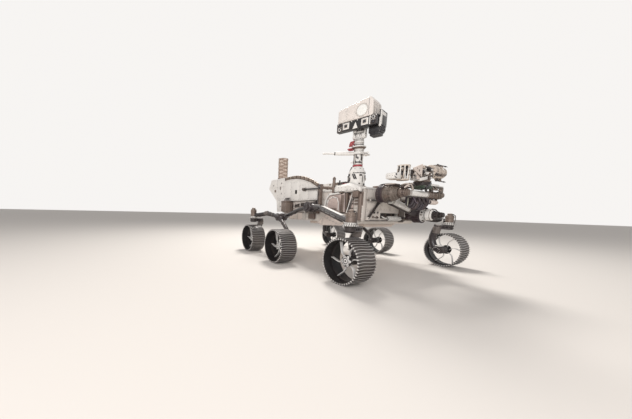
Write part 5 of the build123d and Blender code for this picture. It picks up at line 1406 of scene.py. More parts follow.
piece("dish_base_fittings", base, "chassis", (white_paint, steel_screw, cable_wrap))

# Mast
# A white-painted canister and cone on a bolted foot, dressed with black marks, small boxes and
# leads, then a slender white tube with a red sleeve near its top and a hat under the neck's drum.
MAST = (770.0, -500.0)


def mast_spot(radius, degrees, height):
    """A place beside the mast, by distance, bearing and height."""
    angle = radians(degrees)
    return at(MAST[0] + radius * cos(angle), MAST[1] + radius * sin(angle), height)


def facing_chip(shape, radius, degrees, height, size, look, ease=1.5):
    """A small block on the mast that faces out; its size is depth, breadth and height."""
    chip(shape, mast_spot(radius, degrees, height), size, ease, look, Matrix.Rotation(radians(degrees), 4,
        "Z"))


def lump(shape, place, size, look, seed, squash=(1, 1, 1), rough=0.35, pitch=70, fineness=2):
    """A crumpled bundle of wrapped cable or cloth."""
    part = bmesh.new()
    bmesh.ops.create_icosphere(part, subdivisions=fineness, radius=size / 1000)
    for vert in part.verts:
        vert.co *= 1 + rough * noise.noise(vert.co * pitch + Vector(seed))
        vert.co *= Vector(squash)
    settle(shape, part, Matrix.Translation(spot(place)), look)


foot = bmesh.new()
slab(foot, (632, -608, DECK_TOP), (908, -362, DECK_TOP + 13), 4, 1)
studs(foot, [(x, y, DECK_TOP + 13) for x in (650, 715, 825, 890) for y in (-592, -378)], Z, 7, 7, 3)
turned(foot, (*MAST, DECK_TOP + 12), Z, [
    (0, 0), (0, 106), (3, 110), (14, 110), (16, 104), (30, 104), (32, 108), (190, 108), (193, 110),
    (207, 110), (209, 106), (214, 105), (222, 100), (268, 74), (276, 68), (278, 0)], 0, 64)
studs(foot, ring((*MAST, DECK_TOP + 26), 107, 12, "Z", 15), Z, 4.5, 5, 3)
for turn in (-72, -60):
    chip(foot, mast_spot(108.5, turn, 1292), (8, 17, 74), 1, 2,
         Matrix.Rotation(radians(turn), 4, "Z") @ Matrix.Rotation(radians(24), 4, "X"))
for step in range(10):
    facing_chip(foot, 109, -72 + 11 * step, 1341, (8, 14, (16, 10)[step % 2]), 2)
for turn, tall in ((18, 40), (26, 70), (34, 50)):
    facing_chip(foot, 108.5, turn, 1300 - tall / 4, (8, 12, tall), 2)
for turn, height, breadth, tall in ((-112, 1318, 30, 34), (-24, 1310, 34, 22), (-104, 1262, 22, 50),
                                    (-8, 1260, 8, 90), (-108, 1225, 14, 60), (12, 1190, 40, 24), (-30, 1200,
                                    18, 18), (120, 1250, 40, 60)):
    facing_chip(foot, 108, turn, height, (8, breadth, tall), 2)
for turn, height, breadth, tall, look in ((-138, 1240, 44, 130, 1), (-150, 1180, 60, 50, 4), (170, 1290, 50,
        60, 0),
                                          (-20, 1230, 30, 60, 0), (60, 1270, 60, 40, 1)):
    facing_chip(foot, 106, turn, height, (26 if look else 18, breadth, tall), look, 4)
for turn in (-130, -144, -122, 100, 112):
    tubing(foot, [mast_spot(118, turn, 1150), mast_spot(113, turn + 4, 1220), mast_spot(112, turn - 3, 1300),
                  mast_spot(100, turn, 1372), mast_spot(76, turn + 4, 1428)], 6, 5)
for height in (1218, 1302):
    for turn in (-133, 106):
        facing_chip(foot, 113, turn, height, (12, 58, 14), 2)
for turn in range(20, 380, 45):
    facing_chip(foot, 87, turn, 1393, (3, 8, 22), 2, 0.6)
turned(foot, (*MAST, 1352), Z, [(0, 100), (0, 108), (5, 106), (5, 98)], 2, 48)
piece("mast_canister", foot, "chassis",
      (white_paint, cream_paint, black_mark, steel_screw, bronze_paint, cable_wrap), ["mast_foot"])

tube = bmesh.new()
for height, profile, look, steps in (
        (1430, [(0, 0), (0, 61), (2, 64.5), (25, 64.5), (27, 61), (28, 0)], 1, 48),
        (1450, [(0, 0), (0, 55), (6, 53), (190, 52), (196, 56), (203, 58), (205, 58), (208, 66), (234, 90),
        (242, 94),
                (246, 93), (246, 62), (250, 60), (262, 62), (266, 58), (280, 58), (284, 62), (306, 62),
                (309.5, 59), (309.5, 0)], 0, 56),
        (1662, [(0, 70), (2, 72), (22, 91), (24, 89), (2, 69)], 3, 48),
        (1690, [(0, 90), (0, 94.5), (5, 94.5), (7, 92), (7, 88)], 0, 56),
        (1480, [(0, 51), (0, 57), (2, 58), (14, 58), (16, 57), (16, 51)], 2, 40)):
    turned(tube, (*MAST, height), Z, profile, look, steps)
for turn in range(0, 360, 30):
    facing_chip(tube, 55, turn, 1492, (5, 9, 30), 2 if turn % 60 else 0, 1)
    facing_chip(tube, 55, turn + 12, 1541, (5, 7, 34), 0 if turn % 60 else 2, 1)
    studs(tube, [mast_spot(80, turn, 1697)], Z, 4, 3, 2)
for turn, height, tall in ((-74, 1566, 44), (-60, 1548, 26), (-8, 1556, 70), (4, 1524, 34), (-84, 1498, 30),
                           (80, 1520, 100), (170, 1510, 90)):
    facing_chip(tube, 56, turn, height, (10, 10, tall), 2)
for turn, look in ((-112, 5), (-96, 4), (24, 4), (36, 5), (150, 5)):
    tubing(tube, [mast_spot(61, turn, 1460), mast_spot(62, turn + 2, 1468), mast_spot(58, turn + 3, 1500),
                  mast_spot(58, turn - 4, 1560), mast_spot(58, turn + 4, 1620), mast_spot(63, turn, 1655)],
                  5.5, look)
facing_chip(tube, 62, -140, 1500, (22, 34, 26), 0, 4)
start = mast_spot(66, -150, 1500)
turned(tube, start, mast_spot(100, -150, 1500) - start, [(0, 0), (0, 11), (14, 12), (16, 9), (28, 9),
    (28, 0)], 0, 20)
turned(tube, (*MAST, 1716), Z, [(0, 60), (0, 63), (3, 63.5), (5, 63.5), (8, 60)], 2, 40)
turned(tube, (*MAST, 1738), Z, [(0, 60), (0, 62.5), (3, 63), (5, 63), (8, 60)], 3, 40)
for turn, size in ((-128, 13), (-121, 15), (-116, 12)):
    for step in range(3):
        lump(tube, mast_spot(118 + 12 * step, turn + 4 * step, 1654 + 3 * ((step + size) % 4)), size, 1,
             (turn, step, 3.0), (1, 1, 0.75))
for turn in (-128, -119, -110):
    tubing(tube, [mast_spot(72, turn, 1656), mast_spot(104, turn - 2, 1648), mast_spot(136, turn, 1656),
                  mast_spot(128, turn + 3, 1668), mast_spot(94, turn + 1, 1666)], 7, 1, 3, 10)
piece("mast_column", tube, "chassis",
      (white_paint, red_paint, black_mark, brown_paint, cream_paint, cable_wrap), ["mast_tube"])

# Wind booms
# Two white sensor arms on a split clamp: a thick insulated root with a black joint, a thin tip and
# a cluster of small sensor plates.
BOOM_HEIGHT = 1610
booms = bmesh.new()
turned(booms, (*MAST, 1594), Z, [
    (0, 58.4), (0, 72), (3, 76), (12, 76), (13, 73), (19, 73), (20, 76), (29, 76), (32, 72), (32, 58.4),
    (0, 58.4)],
    0, 40)
for turn in (-30, 150):
    facing_chip(booms, 74, turn, BOOM_HEIGHT, (8, 30, 30), 0, 3)
    studs(booms, [mast_spot(76, turn - 4, BOOM_HEIGHT + 8), mast_spot(76, turn + 4, BOOM_HEIGHT - 8)],
          Vector((cos(radians(turn)), sin(radians(turn)), 0)), 4, 4, 1)
for turn, length in ((235.0, 480.0), (75.0, 180.0)):
    start = mast_spot(70, turn, BOOM_HEIGHT)
    end = mast_spot(length, turn, BOOM_HEIGHT)
    root_end = 0.66 * length - 70
    turned(booms, start, end - start, [
        (0, 0), (0, 23), (10, 24), (12, 22), (0.3 * root_end, 22), (root_end - 8, 23), (root_end, 20),
        (root_end + 1, 14), (root_end + 6, 13), (length - 96, 12), (length - 92, 13), (length - 78, 13),
        (length - 70.5, 9), (length - 70.5, 0)], 0, 20)
    turned(booms, start.lerp(end, 0.98 * root_end / (length - 70)), end - start,
           [(0, 14), (0, 23.6), (10, 21), (10, 9)], 1, 20)
    tubing(booms, [start.lerp(end, share) - mm(0, 0, drop) for share, drop in (
        (0, 21), (0.3, 22), (0.55, 21), (0.64, 12))], 3.5, 2, 3, 6)
for turn, lift in ((40, 12), (62, -10), (92, 16), (108, -6)):
    facing_chip(booms, 92, turn, BOOM_HEIGHT + lift, (38, 16, 12), 0, 3)
    facing_chip(booms, 118, turn, BOOM_HEIGHT + lift, (18, 22, 20), (0, 2)[turn > 60], 3)
piece("wind_sensor_arms", booms, "chassis", (white_paint, black_mark, cream_paint),
    ["wind_booms"])

# Mast head
# The head turns on the neck's stacked bearing rings and tilts on a cross drum. It is modelled as it
# looks along +X, in millimetres from the mast's axis, and then turned to look to the rover's right.
HEAD_TURN = -77.0
TILT_Z = 1835.0
HEAD_BOTTOM = 1905.0
HEAD_MIDDLE = 2020.0
LENS_Z = HEAD_BOTTOM + 58.0
head_place = (Matrix.Translation(at(*MAST, 0)) @ Matrix.Rotation(radians(HEAD_TURN), 4, "Z")
              @ Matrix.Translation(-at(0, 0, 0)))
glass = bpy.data.materials.new("lens_glass")
glass.use_nodes = True
glass_shader = glass.node_tree.nodes["Principled BSDF"]
glass_place = node(glass.node_tree, "TexCoord").outputs["Object"]
glass_tone = node(glass.node_tree, "TexNoise", {"Vector": glass_place, "Scale": 40.0}).outputs["Fac"]
glass.node_tree.links.new(
    blend_colours(glass.node_tree, glass_tone, (0.012, 0.012, 0.018, 1), (0.03, 0.026, 0.04, 1)),
    glass_shader.inputs["Base Color"])
glass_shader.inputs["Roughness"].default_value = 0.06
glass_shader.inputs["Coat Weight"].default_value = 1.0
window_white = finish("window_cover", (0.95, 0.95, 0.92), 0.3, dust=0.05, painted_shade=0.3, coat=0.4)
head_paint = finish("head_paint", (0.86, 0.80, 0.755), 0.4, dust=0.2, painted_shade=0.6, wear_and_highlight_colour=(0.95, 0.93, 0.91))
black_paint = finish("black_housing", (0.010, 0.010, 0.013), 0.4, 0.2, dust=0.08, painted_shade=0.4,
                     wear_and_highlight_colour=(0.14, 0.13, 0.14), coat=0.2)
neck = bmesh.new()
turned(neck, (0, 0, 1760.5), Z, [
    (0, 0), (0, 57), (2, 60), (8, 60), (10, 54), (14, 54), (16, 60), (22, 60), (24, 52), (30, 52), (32, 58),
    (38, 58), (42.5, 50), (42.5, 0)], 0, 56)
for height in (1771, 1785, 1799):
    turned(neck, (0, 0, height), Z, [(0, 50), (0, 55), (4, 55), (4, 50)], 1, 48)
turned(neck, (0, -70, TILT_Z), Y, [
    (0, 0), (0, 38), (3, 40), (24, 40), (27, 35), (50, 35), (52, 40), (88, 40), (90, 35), (113, 35),
    (116, 40), (137, 40), (140, 38), (140, 0)], 0, 40)
for side in (-44, -18, 18, 44):
    turned(neck, (0, side - 2, TILT_Z), Y, [(0, 34), (0, 40.6), (4, 40.6), (4, 34)], 1, 40)
for depth in (-34, 34):
    slab(neck, (depth - 8, -44, 1800), (depth + 8, 44, 1822), 3)
studs(neck, ring((0, 0, 1766), 58, 16), Z, 2.4, 3, 1)
for n in range(9):
    angle = radians(-84 + 4 * n)
    reach = 124 - 7 * n
    lump(neck, (reach * cos(angle), reach * sin(angle), 1730 + 12 * (n % 4)), 12 + 2 * (n % 4) + max(0,
        3 - n), 3,
         (n, 2.0, 3.0))
for n in range(4):
    angle = radians(-86 + 9 * n)
    reach = 130 - 12 * n
    tubing(neck, [(out * cos(angle), out * sin(angle), height) for out, height in (
        (58, 1772), (76, 1774), (reach, 1754), (reach, 1728), (84, 1718))], 8, 3, 4, 10)
bmesh.ops.transform(neck, matrix=head_place, verts=neck.verts)
piece("neck_bearings", neck, "neck", (white_paint, dark_works, bronze_paint, red_paint),
    ["mast_neck"])

# Head box
# A folded white box with a chamfered front edge, a roof seam and a round window under a pale cover
# ringed in grey; screwed panels close its front and rear, and heater plates its right end.
HEAD_OUTLINE = [(-262, 2020), (-262, 2178), (-235, 2196), (135, 2250), (178, 2250), (214, 2196), (214, 2020)]
WINDOW = (75.0, 2112.0)
box = bmesh.new()
shell = sheet([(-100, *corner) for corner in HEAD_OUTLINE], mm(240, 0, 0), 0)
front_edges = [edge for edge in shell.edges if all(vert.co.x > at(139, 0, 0).x for vert in edge.verts)]
bmesh.ops.bevel(shell, geom=front_edges, offset=0.014, segments=3, profile=0.5, affect="EDGES", material=-1)
rest_edges = [edge for edge in shell.edges if edge.calc_face_angle(0) > 0.5]
bmesh.ops.bevel(shell, geom=rest_edges, offset=0.003, segments=2, profile=0.5, affect="EDGES", material=-1)
settle(box, shell)
turned(box, (139, *WINDOW), X, [
    (0, 0), (0, 82), (2, 83), (3, 80), (3, 74), (7, 73), (7, 69.5), (3, 69), (2, 68), (2, 0)], 4, 64)
turned(box, (141, *WINDOW), X, [(0, 0), (0, 68), (3, 66), (5, 50), (6, 0)], 2, 64)
studs(box, ring((142.5, *WINDOW), 80, 12, "X", 15), X, 3.2, 2.5, 3)
for (s0, z0), (s1, z1) in zip(HEAD_OUTLINE[1:6], HEAD_OUTLINE[2:6]):
    bar(box, (128, s0, z0 - 6), (128, s1, z1 - 6), 5, 0, 10, 1)
for low, high in (((-250, 2034), (-140, 2160)), ((-132, 2034), (-24, 2176))):
    slab(box, (139, *low), (143, *high), 1.5)
    studs(box, [(143, side, height) for side in (low[0] + 8, high[0] - 8) for height in
                (low[1] + 8, (low[1] + high[1]) / 2, high[1] - 8)], X, 3, 2, 3)
slab(box, (139, 160, 2036), (143, 166, 2226), 1.5, 3)
for depth in (-92, -30, 34, 98):
    slab(box, (depth, 213, 2030), (depth + 34, 218, 2182), 2, 4)
    studs(box, [(depth + 17, 218, height) for height in (2042, 2106, 2170)], Y, 3.5, 3, 3)
for depth in (-80, -10, 60, 118):
    for share in (0.03, 0.33, 0.62, 0.90):
        studs(box, [(depth, -235 + 370 * share, 2196.5 + 54 * share)], Vector((0, -0.144, 0.99)), 4, 3, 3)
slab(box, (-70, 150, 2249.4), (60, 174, 2250), 0.2, 4)
for side in (-200, -110, -20, 70, 160):
    slab(box, (-106, side - 34, 2044), (-99, side + 34, 2165), 3)
    studs(box, [(-106, side + s, z) for s in (-26, 26) for z in (2054, 2155)], -X, 4, 3, 3)
slab(box, (-40, -270, 2060), (80, -261, 2150), 4, 4)
bmesh.ops.transform(box, matrix=head_place, verts=box.verts)
piece("head_shell", box, "head", (head_paint, bronze_paint, window_white, steel_screw,
    cream_paint),
      ["head_box"])

# Camera bar
# A black machined beam under the head: two square zoom cameras in white frames, a pair of small
# navigation lenses at each end, a white triangular bracket, and two lugs down to the tilt drum.
beam = bmesh.new()
slab(beam, (50, -275, HEAD_BOTTOM), (130, 275, HEAD_MIDDLE - 0.3), 5)
slab(beam, (-60, -86, HEAD_BOTTOM + 25), (52, 86, HEAD_MIDDLE - 0.3), 5)
for hand in (-1, 1):
    turned(beam, (0, hand * 70.5, TILT_Z), hand * Y, [
        (0, 0), (0, 36), (12, 36), (15.5, 32), (15.5, 16), (12, 14), (12, 0)], 1, 32)
    slab(beam, (-28, hand * 70.5, TILT_Z + 8), (28, hand * 86, HEAD_BOTTOM + 30), 3, 1)
    studs(beam, [(depth, hand * 86, HEAD_BOTTOM + 12) for depth in (-16, 16)], hand * Y, 4, 3, 4)
for side in (-135.0, 120.0):
    slab(beam, (129, side - 45, LENS_Z - 41), (141, side + 45, LENS_Z + 41), 3, 1)
    slab(beam, (138, side - 33, LENS_Z - 30), (143, side + 33, LENS_Z + 30), 2, 5)
    slab(beam, (141, side - 20, LENS_Z - 19), (145, side + 20, LENS_Z + 19))
    turned(beam, (140, side, LENS_Z), X, [(0, 0), (0, 18), (8, 18), (11, 17), (11, 14), (7, 13), (7, 0)], 0,
        36)
    turned(beam, (146, side, LENS_Z), X, [(0, 0), (0, 13.5), (3, 11), (4.5, 6), (5, 0)], 2, 32)
    studs(beam, [(141, side + s, LENS_Z + z) for s in (-38, 38) for z in (-34, 34)], X, 3, 2, 4)
for side in (-228.0, 228.0):
    slab(beam, (129, side - 34, LENS_Z - 52), (133, side + 34, LENS_Z + 50), 3, 3)
    for rise in (-28.0, 26.0):
        turned(beam, (131, side, LENS_Z + rise), X, [
            (0, 0), (0, 21), (8, 21), (11, 20), (14.5, 19), (14.5, 15.5), (6, 15), (6, 0)],
            1 if (rise > 0) == (side > 0) else 0, 28)
        turned(beam, (136, side, LENS_Z + rise), X, [(0, 0), (0, 15), (3, 12), (4, 0)], 2, 24)
    for step in range(3):
        slab(beam, (129, side - 24 + 18 * step, LENS_Z - 4), (137, side - 14 + 18 * step, LENS_Z + 2), 1, 1)
settle(beam, sheet([(130, -4, HEAD_BOTTOM + 84), (130, 28, HEAD_BOTTOM + 3), (130, -40, HEAD_BOTTOM + 3)],
                   mm(7, 0, 0), 2), look=1)
slab(beam, (-22, -66, 1882), (22, 66, 1903), 4, 1)
slab(beam, (-18, -60, 1902), (18, 60, 1908))
slab(beam, (30, -74, 1890), (44, -34, 1930), 3, 1)
slab(beam, (30, 30, 1890), (44, 70, 1926), 3, 3)
for side in (-50, 50):
    for depth in (-20, 20):
        turned(beam, (depth, side, HEAD_BOTTOM + 26), -Z, [
            (0, 0), (0, 12), (20, 12), (24, 9), (30, 9), (30, 0)], 1, 16)
for side in (-250, -185, -60, 20, 190, 258):
    slab(beam, (128, side - 5, HEAD_MIDDLE - 18), (134, side + 5, HEAD_MIDDLE - 4), 1, 1)
slab(beam, (124, 176, HEAD_BOTTOM + 10), (136, 190, HEAD_MIDDLE - 6), 3, 1)
for turn in range(4):
    tubing(beam, [(-58, -70 + 40 * turn, 1980), (-74, -66 + 40 * turn, 1950), (-70, -40 + 26 * turn, 1920),
                  (-30, -20 + 14 * turn, 1934)], 6, 3, 3)
bmesh.ops.transform(beam, matrix=head_place, verts=beam.verts)
piece("camera_beam", beam, "head", (black_paint, white_paint, glass, cable_wrap, steel_screw,
    cream_paint),
      ["camera_bar"])

# Side box
# The black electronics box of the long-range camera hangs at the head's left end, with a cooling
# fin, connectors and a white upright bracket. Its black is partly black insulation and radiators and partly
# painted shade for the head's shaded end.
side_case = bmesh.new()
# The box's black: partly black insulation, partly painted shade.
for low, high, ease, look in (
        ((-94, 134, 1830), (49.5, 290, 1991), 12, 0), ((-84, 150, 1797), (40, 276, 1840), 10, 0),
        ((-94, 278, 1902), (89, 302, 2077), 5, 0), ((49, 292, 1905), (90, 302.5, 2070), 3, 1),
        ((70, 279, 1880), (89.5, 302, 1990), 4, 1), ((-60, 296, 2020), (60, 303, 2060), 2, 1)):
    slab(side_case, low, high, ease, look)
for step in range(6):
    slab(side_case, (-80 + 26 * step, 289, 1850), (-70 + 26 * step, 300, 1898))
    slab(side_case, (-70 + 18 * step, 160, 1795), (-62 + 18 * step, 264, 1800), 1.2)
for step in range(4):
    turned(side_case, (49, 160 + 32 * step, 1862), X, [(-2, 0), (-2, 11), (0.4, 11), (0.4, 0)], 2, 20)
studs(side_case, [(49, side, height) for side in (146, 278) for height in (1838, 1880, 1980)], X, 4, 0.6, 2)
for side in (170, 200, 230):
    tubing(side_case, [(-92, side, 1900), (-100, side, 1930), (-98, side - 10, 1985), (-92, side - 20,
        2010)], 6, 3, 3)
bmesh.ops.transform(side_case, matrix=head_place, verts=side_case.verts)
piece("head_electronics_box", side_case, "head", (black_paint, white_paint, steel_screw,
    cable_wrap),
      ["head_side_box"])

# Shoulder
# The arm's first joint: a dark drum on an upright axis between the body's two lugs, a flange for the
# elevation drum, and the purple-black harness that loops over a cable box to the upper arm.
SHOULDER = (1122.0, 250.0)
harness_wrap = finish("harness_wrap", (0.018, 0.012, 0.020), 0.45, dust=0.15, painted_shade=0.6,
                      wear_and_highlight_colour=(0.10, 0.075, 0.095), relief=0.6, relief_scale=130.0)
drum_paint = finish("drum_paint", (0.036, 0.021, 0.025), 0.42, 0.2, dust=0.2, painted_shade=0.8,
                    wear_and_highlight_colour=(0.20, 0.14, 0.145), relief=0.35)
grey_bronze = finish("grey_bronze", (0.135, 0.112, 0.096), 0.42, 0.3, dust=0.45, painted_shade=0.9,
                     wear_and_highlight_colour=(0.38, 0.34, 0.30), relief=0.4, relief_scale=90.0)
violet_wrap = finish("violet_wrap", (0.11, 0.085, 0.115), 0.5, dust=0.2, painted_shade=0.8, relief=0.6,
    relief_scale=130.0)
pale_cable = finish("pale_cable", (0.46, 0.47, 0.38), 0.5, dust=0.3, painted_shade=0.6)
bracket = bmesh.new()
slab(bracket, (1000, 190, 683), (1006, 310, 1017))
studs(bracket, [(1006, side, height) for side in (202, 298) for height in (695, 780, 850, 920, 1005)], X, 6,
    5, 2)
for low, pad in ((713, 735), (975, 945)):
    slab(bracket, (1004, 205, low), (1122, 295, low + 22), 4)
    turned(bracket, (*SHOULDER, low), Z, [
        (0, 0), (0, 48), (2, 50), (20, 50), (22, 48), (22, 30), (27, 28), (27, 0)], 0, 40)
    slab(bracket, (1006, 212, pad), (1034, 288, pad + 30), 8, 1)
    studs(bracket, ring((*SHOULDER, low + 22), 38, 6), Z, 4.5, 4, 2)
piece("shoulder_lugs", bracket, "chassis", (grey_bronze, drum_paint, steel_screw),
    ["shoulder_bracket"])

shoulder = bmesh.new()
turned(shoulder, (*SHOULDER, 735.5), Z, [
    (0, 0), (0, 58), (3, 62), (22, 62), (25, 56), (48, 56), (52, 62), (92, 62), (96, 56), (150, 56),
    (154, 62), (190, 62), (194, 57), (214, 57), (218, 62), (236, 62), (239, 58), (239, 0)], 0, 48)
turned(shoulder, (*SHOULDER, 802), X, [(0, 0), (0, 54), (52, 54), (56, 60), (66, 60), (67.5, 58), (67.5, 0)],
    1, 40)
slab(shoulder, (1181, 269, 925), (1287, 329, 1044), 10, 2)
slab(shoulder, (1124, 270, 926), (1184, 290, 972), 5, 1)
for height in (940, 976, 1012):
    slab(shoulder, (1186, 266.5, height), (1284, 270, height + 18), 1.5, 1)
for row in range(5):
    lift = 16 * row
    tubing(shoulder, [
        (1270, 300, 1034 - lift), (1306, 296 - 6 * row, 1040 - lift), (1322, 240 - 10 * row,
        1030 - lift * 1.4),
        (1326 - 3 * row, 160 - 6 * row, 990 - lift * 1.3), (1318, 118 + 8 * row, 925 - lift * 0.5),
        (1312, 150 + 14 * row, 905), (1306, 250, 900 + 2 * row), (1290, 300, 925)], 15 - row, 2, 4, 12)
for row in range(3):
    tubing(shoulder, [(1286, 318, 1010 - 24 * row), (1310, 322, 1000 - 26 * row), (1320, 270,
        960 - 16 * row),
                      (1314, 210, 965 - 20 * row), (1310, 180, 925), (1304, 240, 895)], 11, (2, 4, 2)[row],
                      4, 10)
for side, height, size in ((190, 968, 34), (232, 940, 30), (160, 944, 26), (262, 985, 30)):
    lump(shoulder, (1308, side, height), size, 2, (side, height, 0), (0.55, 1, 1), 0.3, 40, 3)
for side, height in ((290, 1030), (215, 1004), (140, 950)):
    slab(shoulder, (1296, side - 9, height - 34), (1338, side + 9, height + 4), 4, 4)
tubing(shoulder, [(1122, 250, 905), (1165, 200, 940), (1175, 262, 980), (1184, 290, 1000)], 12, 2, 4, 10)
piece("shoulder_drum_and_harness", shoulder, "shoulder",
      (drum_paint, grey_bronze, harness_wrap, steel_screw, cable_wrap), ["shoulder_drum"])


def ribbed_drum(shape, start, length, radius, look, rib_look, ribs=24, rim=14.0):
    """An actuator drum that faces forward: a raised rim at each edge, ribs between and bolts on its face."""
    turned(shape, start, X, [
        (0, 0), (0, radius - 8), (2, radius - 2), (4, radius), (rim - 2, radius), (rim, radius - 2),
        (rim + 1, radius - 9), (length - rim - 1, radius - 9), (length - rim, radius - 2), (length - rim + 2,
        radius), (length - 4, radius),
        (length - 2, radius - 2), (length, radius - 8), (length, 0)], look, 64)
    turn = Matrix.Translation(spot(start)) @ pointed(X)
    for rib in range(ribs):
        part = bmesh.new()
        bmesh.ops.create_cube(part, size=1)
        bmesh.ops.scale(part, vec=mm(8, 10, length - 2 * rim), verts=part.verts)
        settle(shape, part, turn @ Matrix.Rotation(tau * rib / ribs, 4, "Z") @ Matrix.Translation(
            mm(radius - 7, 0, length / 2)), rib_look)
    studs(shape, [turn @ mm((radius - 13) * cos(angle), (radius - 13) * sin(angle), length)
                  for angle in [tau * n / 20 for n in range(20)]], X, 4.5, 4, rib_look)


# Elevation actuator
# Purple-black gear drum with a ribbed rim, a ring of small white fittings, a white-painted housing
# and a dark stepped motor that points forward.
LIFT_AXIS = (250, 802)
elevation = bmesh.new()
ribbed_drum(elevation, (1190, *LIFT_AXIS), 106, 114, 0, 1)
turned(elevation, (1296, *LIFT_AXIS), X, [
    (0, 0), (0, 96), (6, 96), (10, 84), (24, 78), (26, 66), (34, 66), (36, 72), (112, 72), (116, 68),
    (120, 60), (126, 60), (129, 56), (129, 0)], 2, 56)
fins(elevation, (1312, *LIFT_AXIS), 84, 16, (20, 16, 16), 2, (3, 2, 2, 4), "X")
for reach, look in ((44, 4), (104, 3)):
    turned(elevation, (1296 + reach, *LIFT_AXIS), X, [(0, 70), (0, 73.5), (7, 73.5), (7, 70)], look, 48)
turned(elevation, (1425, *LIFT_AXIS), X, [
    (-8, 0), (-8, 58), (8, 60), (12, 54), (16, 46), (54, 48), (58, 44), (60, 38), (92, 38), (96, 33),
    (112, 32), (118, 26), (120, 0)], 4, 48)
fins(elevation, (1459, *LIFT_AXIS), 46.5, 10, (36, 6, 6), 1, (0,), "X")
slab(elevation, (1340, 226, 866), (1400, 274, 884), 4, 2)
tubing(elevation, [(1392, 250, 880), (1424, 256, 884), (1452, 262, 862), (1466, 262, 836), (1462, 256, 842)],
    7, 5)
tubing(elevation, [(1345, 250, 884), (1320, 262, 906), (1302, 280, 896), (1300, 270, 880)], 8, 5)
piece("elevation_gearmotor", elevation, "upper_arm",
      (harness_wrap, drum_paint, white_paint, bronze_paint, dark_works, cable_wrap), ["elevation_drum"])

# Upper arm
# A white thermal-painted tube from the elevation drum up to the elbow, in titanium end collars,
# with a strapped flex cable along its lower side.
arm_start, arm_end = at(1243, 250, 802), at(1175, -430, 1000)
arm_way = (arm_end - arm_start).normalized()
arm_under = Vector((0, -0.28, -0.96))
length = (arm_end - arm_start).length * 1000
upper = bmesh.new()
turned(upper, arm_start, arm_way, [
    (92, 0), (92, 40), (104, 46), (122, 47), (128, 44), (length - 148, 44), (length - 142, 47),
    (length - 104, 47), (length - 96, 42), (length - 90, 0)], 0, 48)
turned(upper, arm_start, arm_way, [
    (92, 0), (92, 50), (118, 56), (150, 53), (176, 57), (205, 53), (226, 56), (238, 50), (238, 0)], 4, 32)
for reach in (252, length - 134, length - 118):
    turned(upper, arm_start + arm_way * reach / 1000, arm_way, [(0, 44), (0, 48.5), (7, 48.5), (7, 44)], 1,
        40)
for aside, thick in ((mm(18, 0, 0), 7), (mm(-4, 0, 0), 8), (mm(-26, 0, 6), 6)):
    tubing(upper, [place + arm_under * drop + aside for place, drop in (
        (arm_start + arm_way * 0.1, 0.046), (arm_start + arm_way * 0.25, 0.05), (arm_start + arm_way * 0.45,
        0.049),
        (arm_end - arm_way * 0.1, 0.046))], thick, 2, 3)
for share in (0.5, 0.7):
    turned(upper, arm_start.lerp(arm_end, share), arm_way, [(0, 44), (0, 46), (9, 46), (9, 44)], 3, 40)
piece("upper_arm_tube", upper, "upper_arm",
      (white_paint, grey_bronze, cable_wrap, cream_paint, harness_wrap), ["upper_arm"])

# Elbow actuator
# A dark red-brown gear drum, a large mottled grey-bronze housing with cast pads, and a cone that
# carries the forearm's joint. Dark cable loops run over the top under a pinkish cover.
ELBOW = (-460.0, 1055.0)
elbow = bmesh.new()
ribbed_drum(elbow, (1125, *ELBOW), 84, 114, 0, 1, 36)
turned(elbow, (1120, *ELBOW), X, [(5, 0), (5, 70), (8, 92), (8, 0)], 0, 48)
turned(elbow, (1209, *ELBOW), X, [
    (-2, 0), (-2, 104), (4, 104), (8, 97), (30, 96), (34, 100), (62, 100), (66, 95), (92, 94), (97, 98),
    (101, 98), (104, 94), (122, 84), (128, 84), (134, 74), (150, 72), (154, 66), (163, 66), (163, 0)], 2, 56)
fins(elbow, (1229, *ELBOW), 96, 14, (30, 10, 18), 2, (3, 2), "X")
fins(elbow, (1291, *ELBOW), 96, 14, (30, 8, 26), 2, (3, 2), "X")
for turn, reach, look in ((205, 1255, 3), (150, 1262, 2), (260, 1265, 4), (110, 1250, 3), (320, 1260, 2)):
    angle = radians(turn)
    chip(elbow, (reach, ELBOW[0] + 94 * cos(angle) - 2, ELBOW[1] + 94 * sin(angle)), (40, 16, 52), 3, look,
         Matrix.Rotation(angle, 4, "X"))
slab(elbow, (1214, -528, 1152), (1330, -398, 1164), 4, 5)
slab(elbow, (1222, -516, 1138), (1322, -410, 1156), 3, 4)
for side in (-500, -470, -440):
    tubing(elbow, [(1150, side - 10, 1160), (1200, side, 1168), (1270, side + 6, 1169), (1340, side + 14,
        1158),
                   (1362, side + 18, 1128)], 6.5, 4)
turned(elbow, (1128, *ELBOW), X, [(18, 100), (18, 107), (24, 107), (24, 100)], 3, 48)
slab(elbow, (1140, -470, 950), (1196, -380, 985), 8, 2, Matrix.Rotation(radians(-16), 4, "X"))
piece("elbow_gearmotor", elbow, "upper_arm",
      (drum_paint, harness_wrap, grey_bronze, bronze_paint, cable_wrap, pink_paint), ["elbow_drum"])

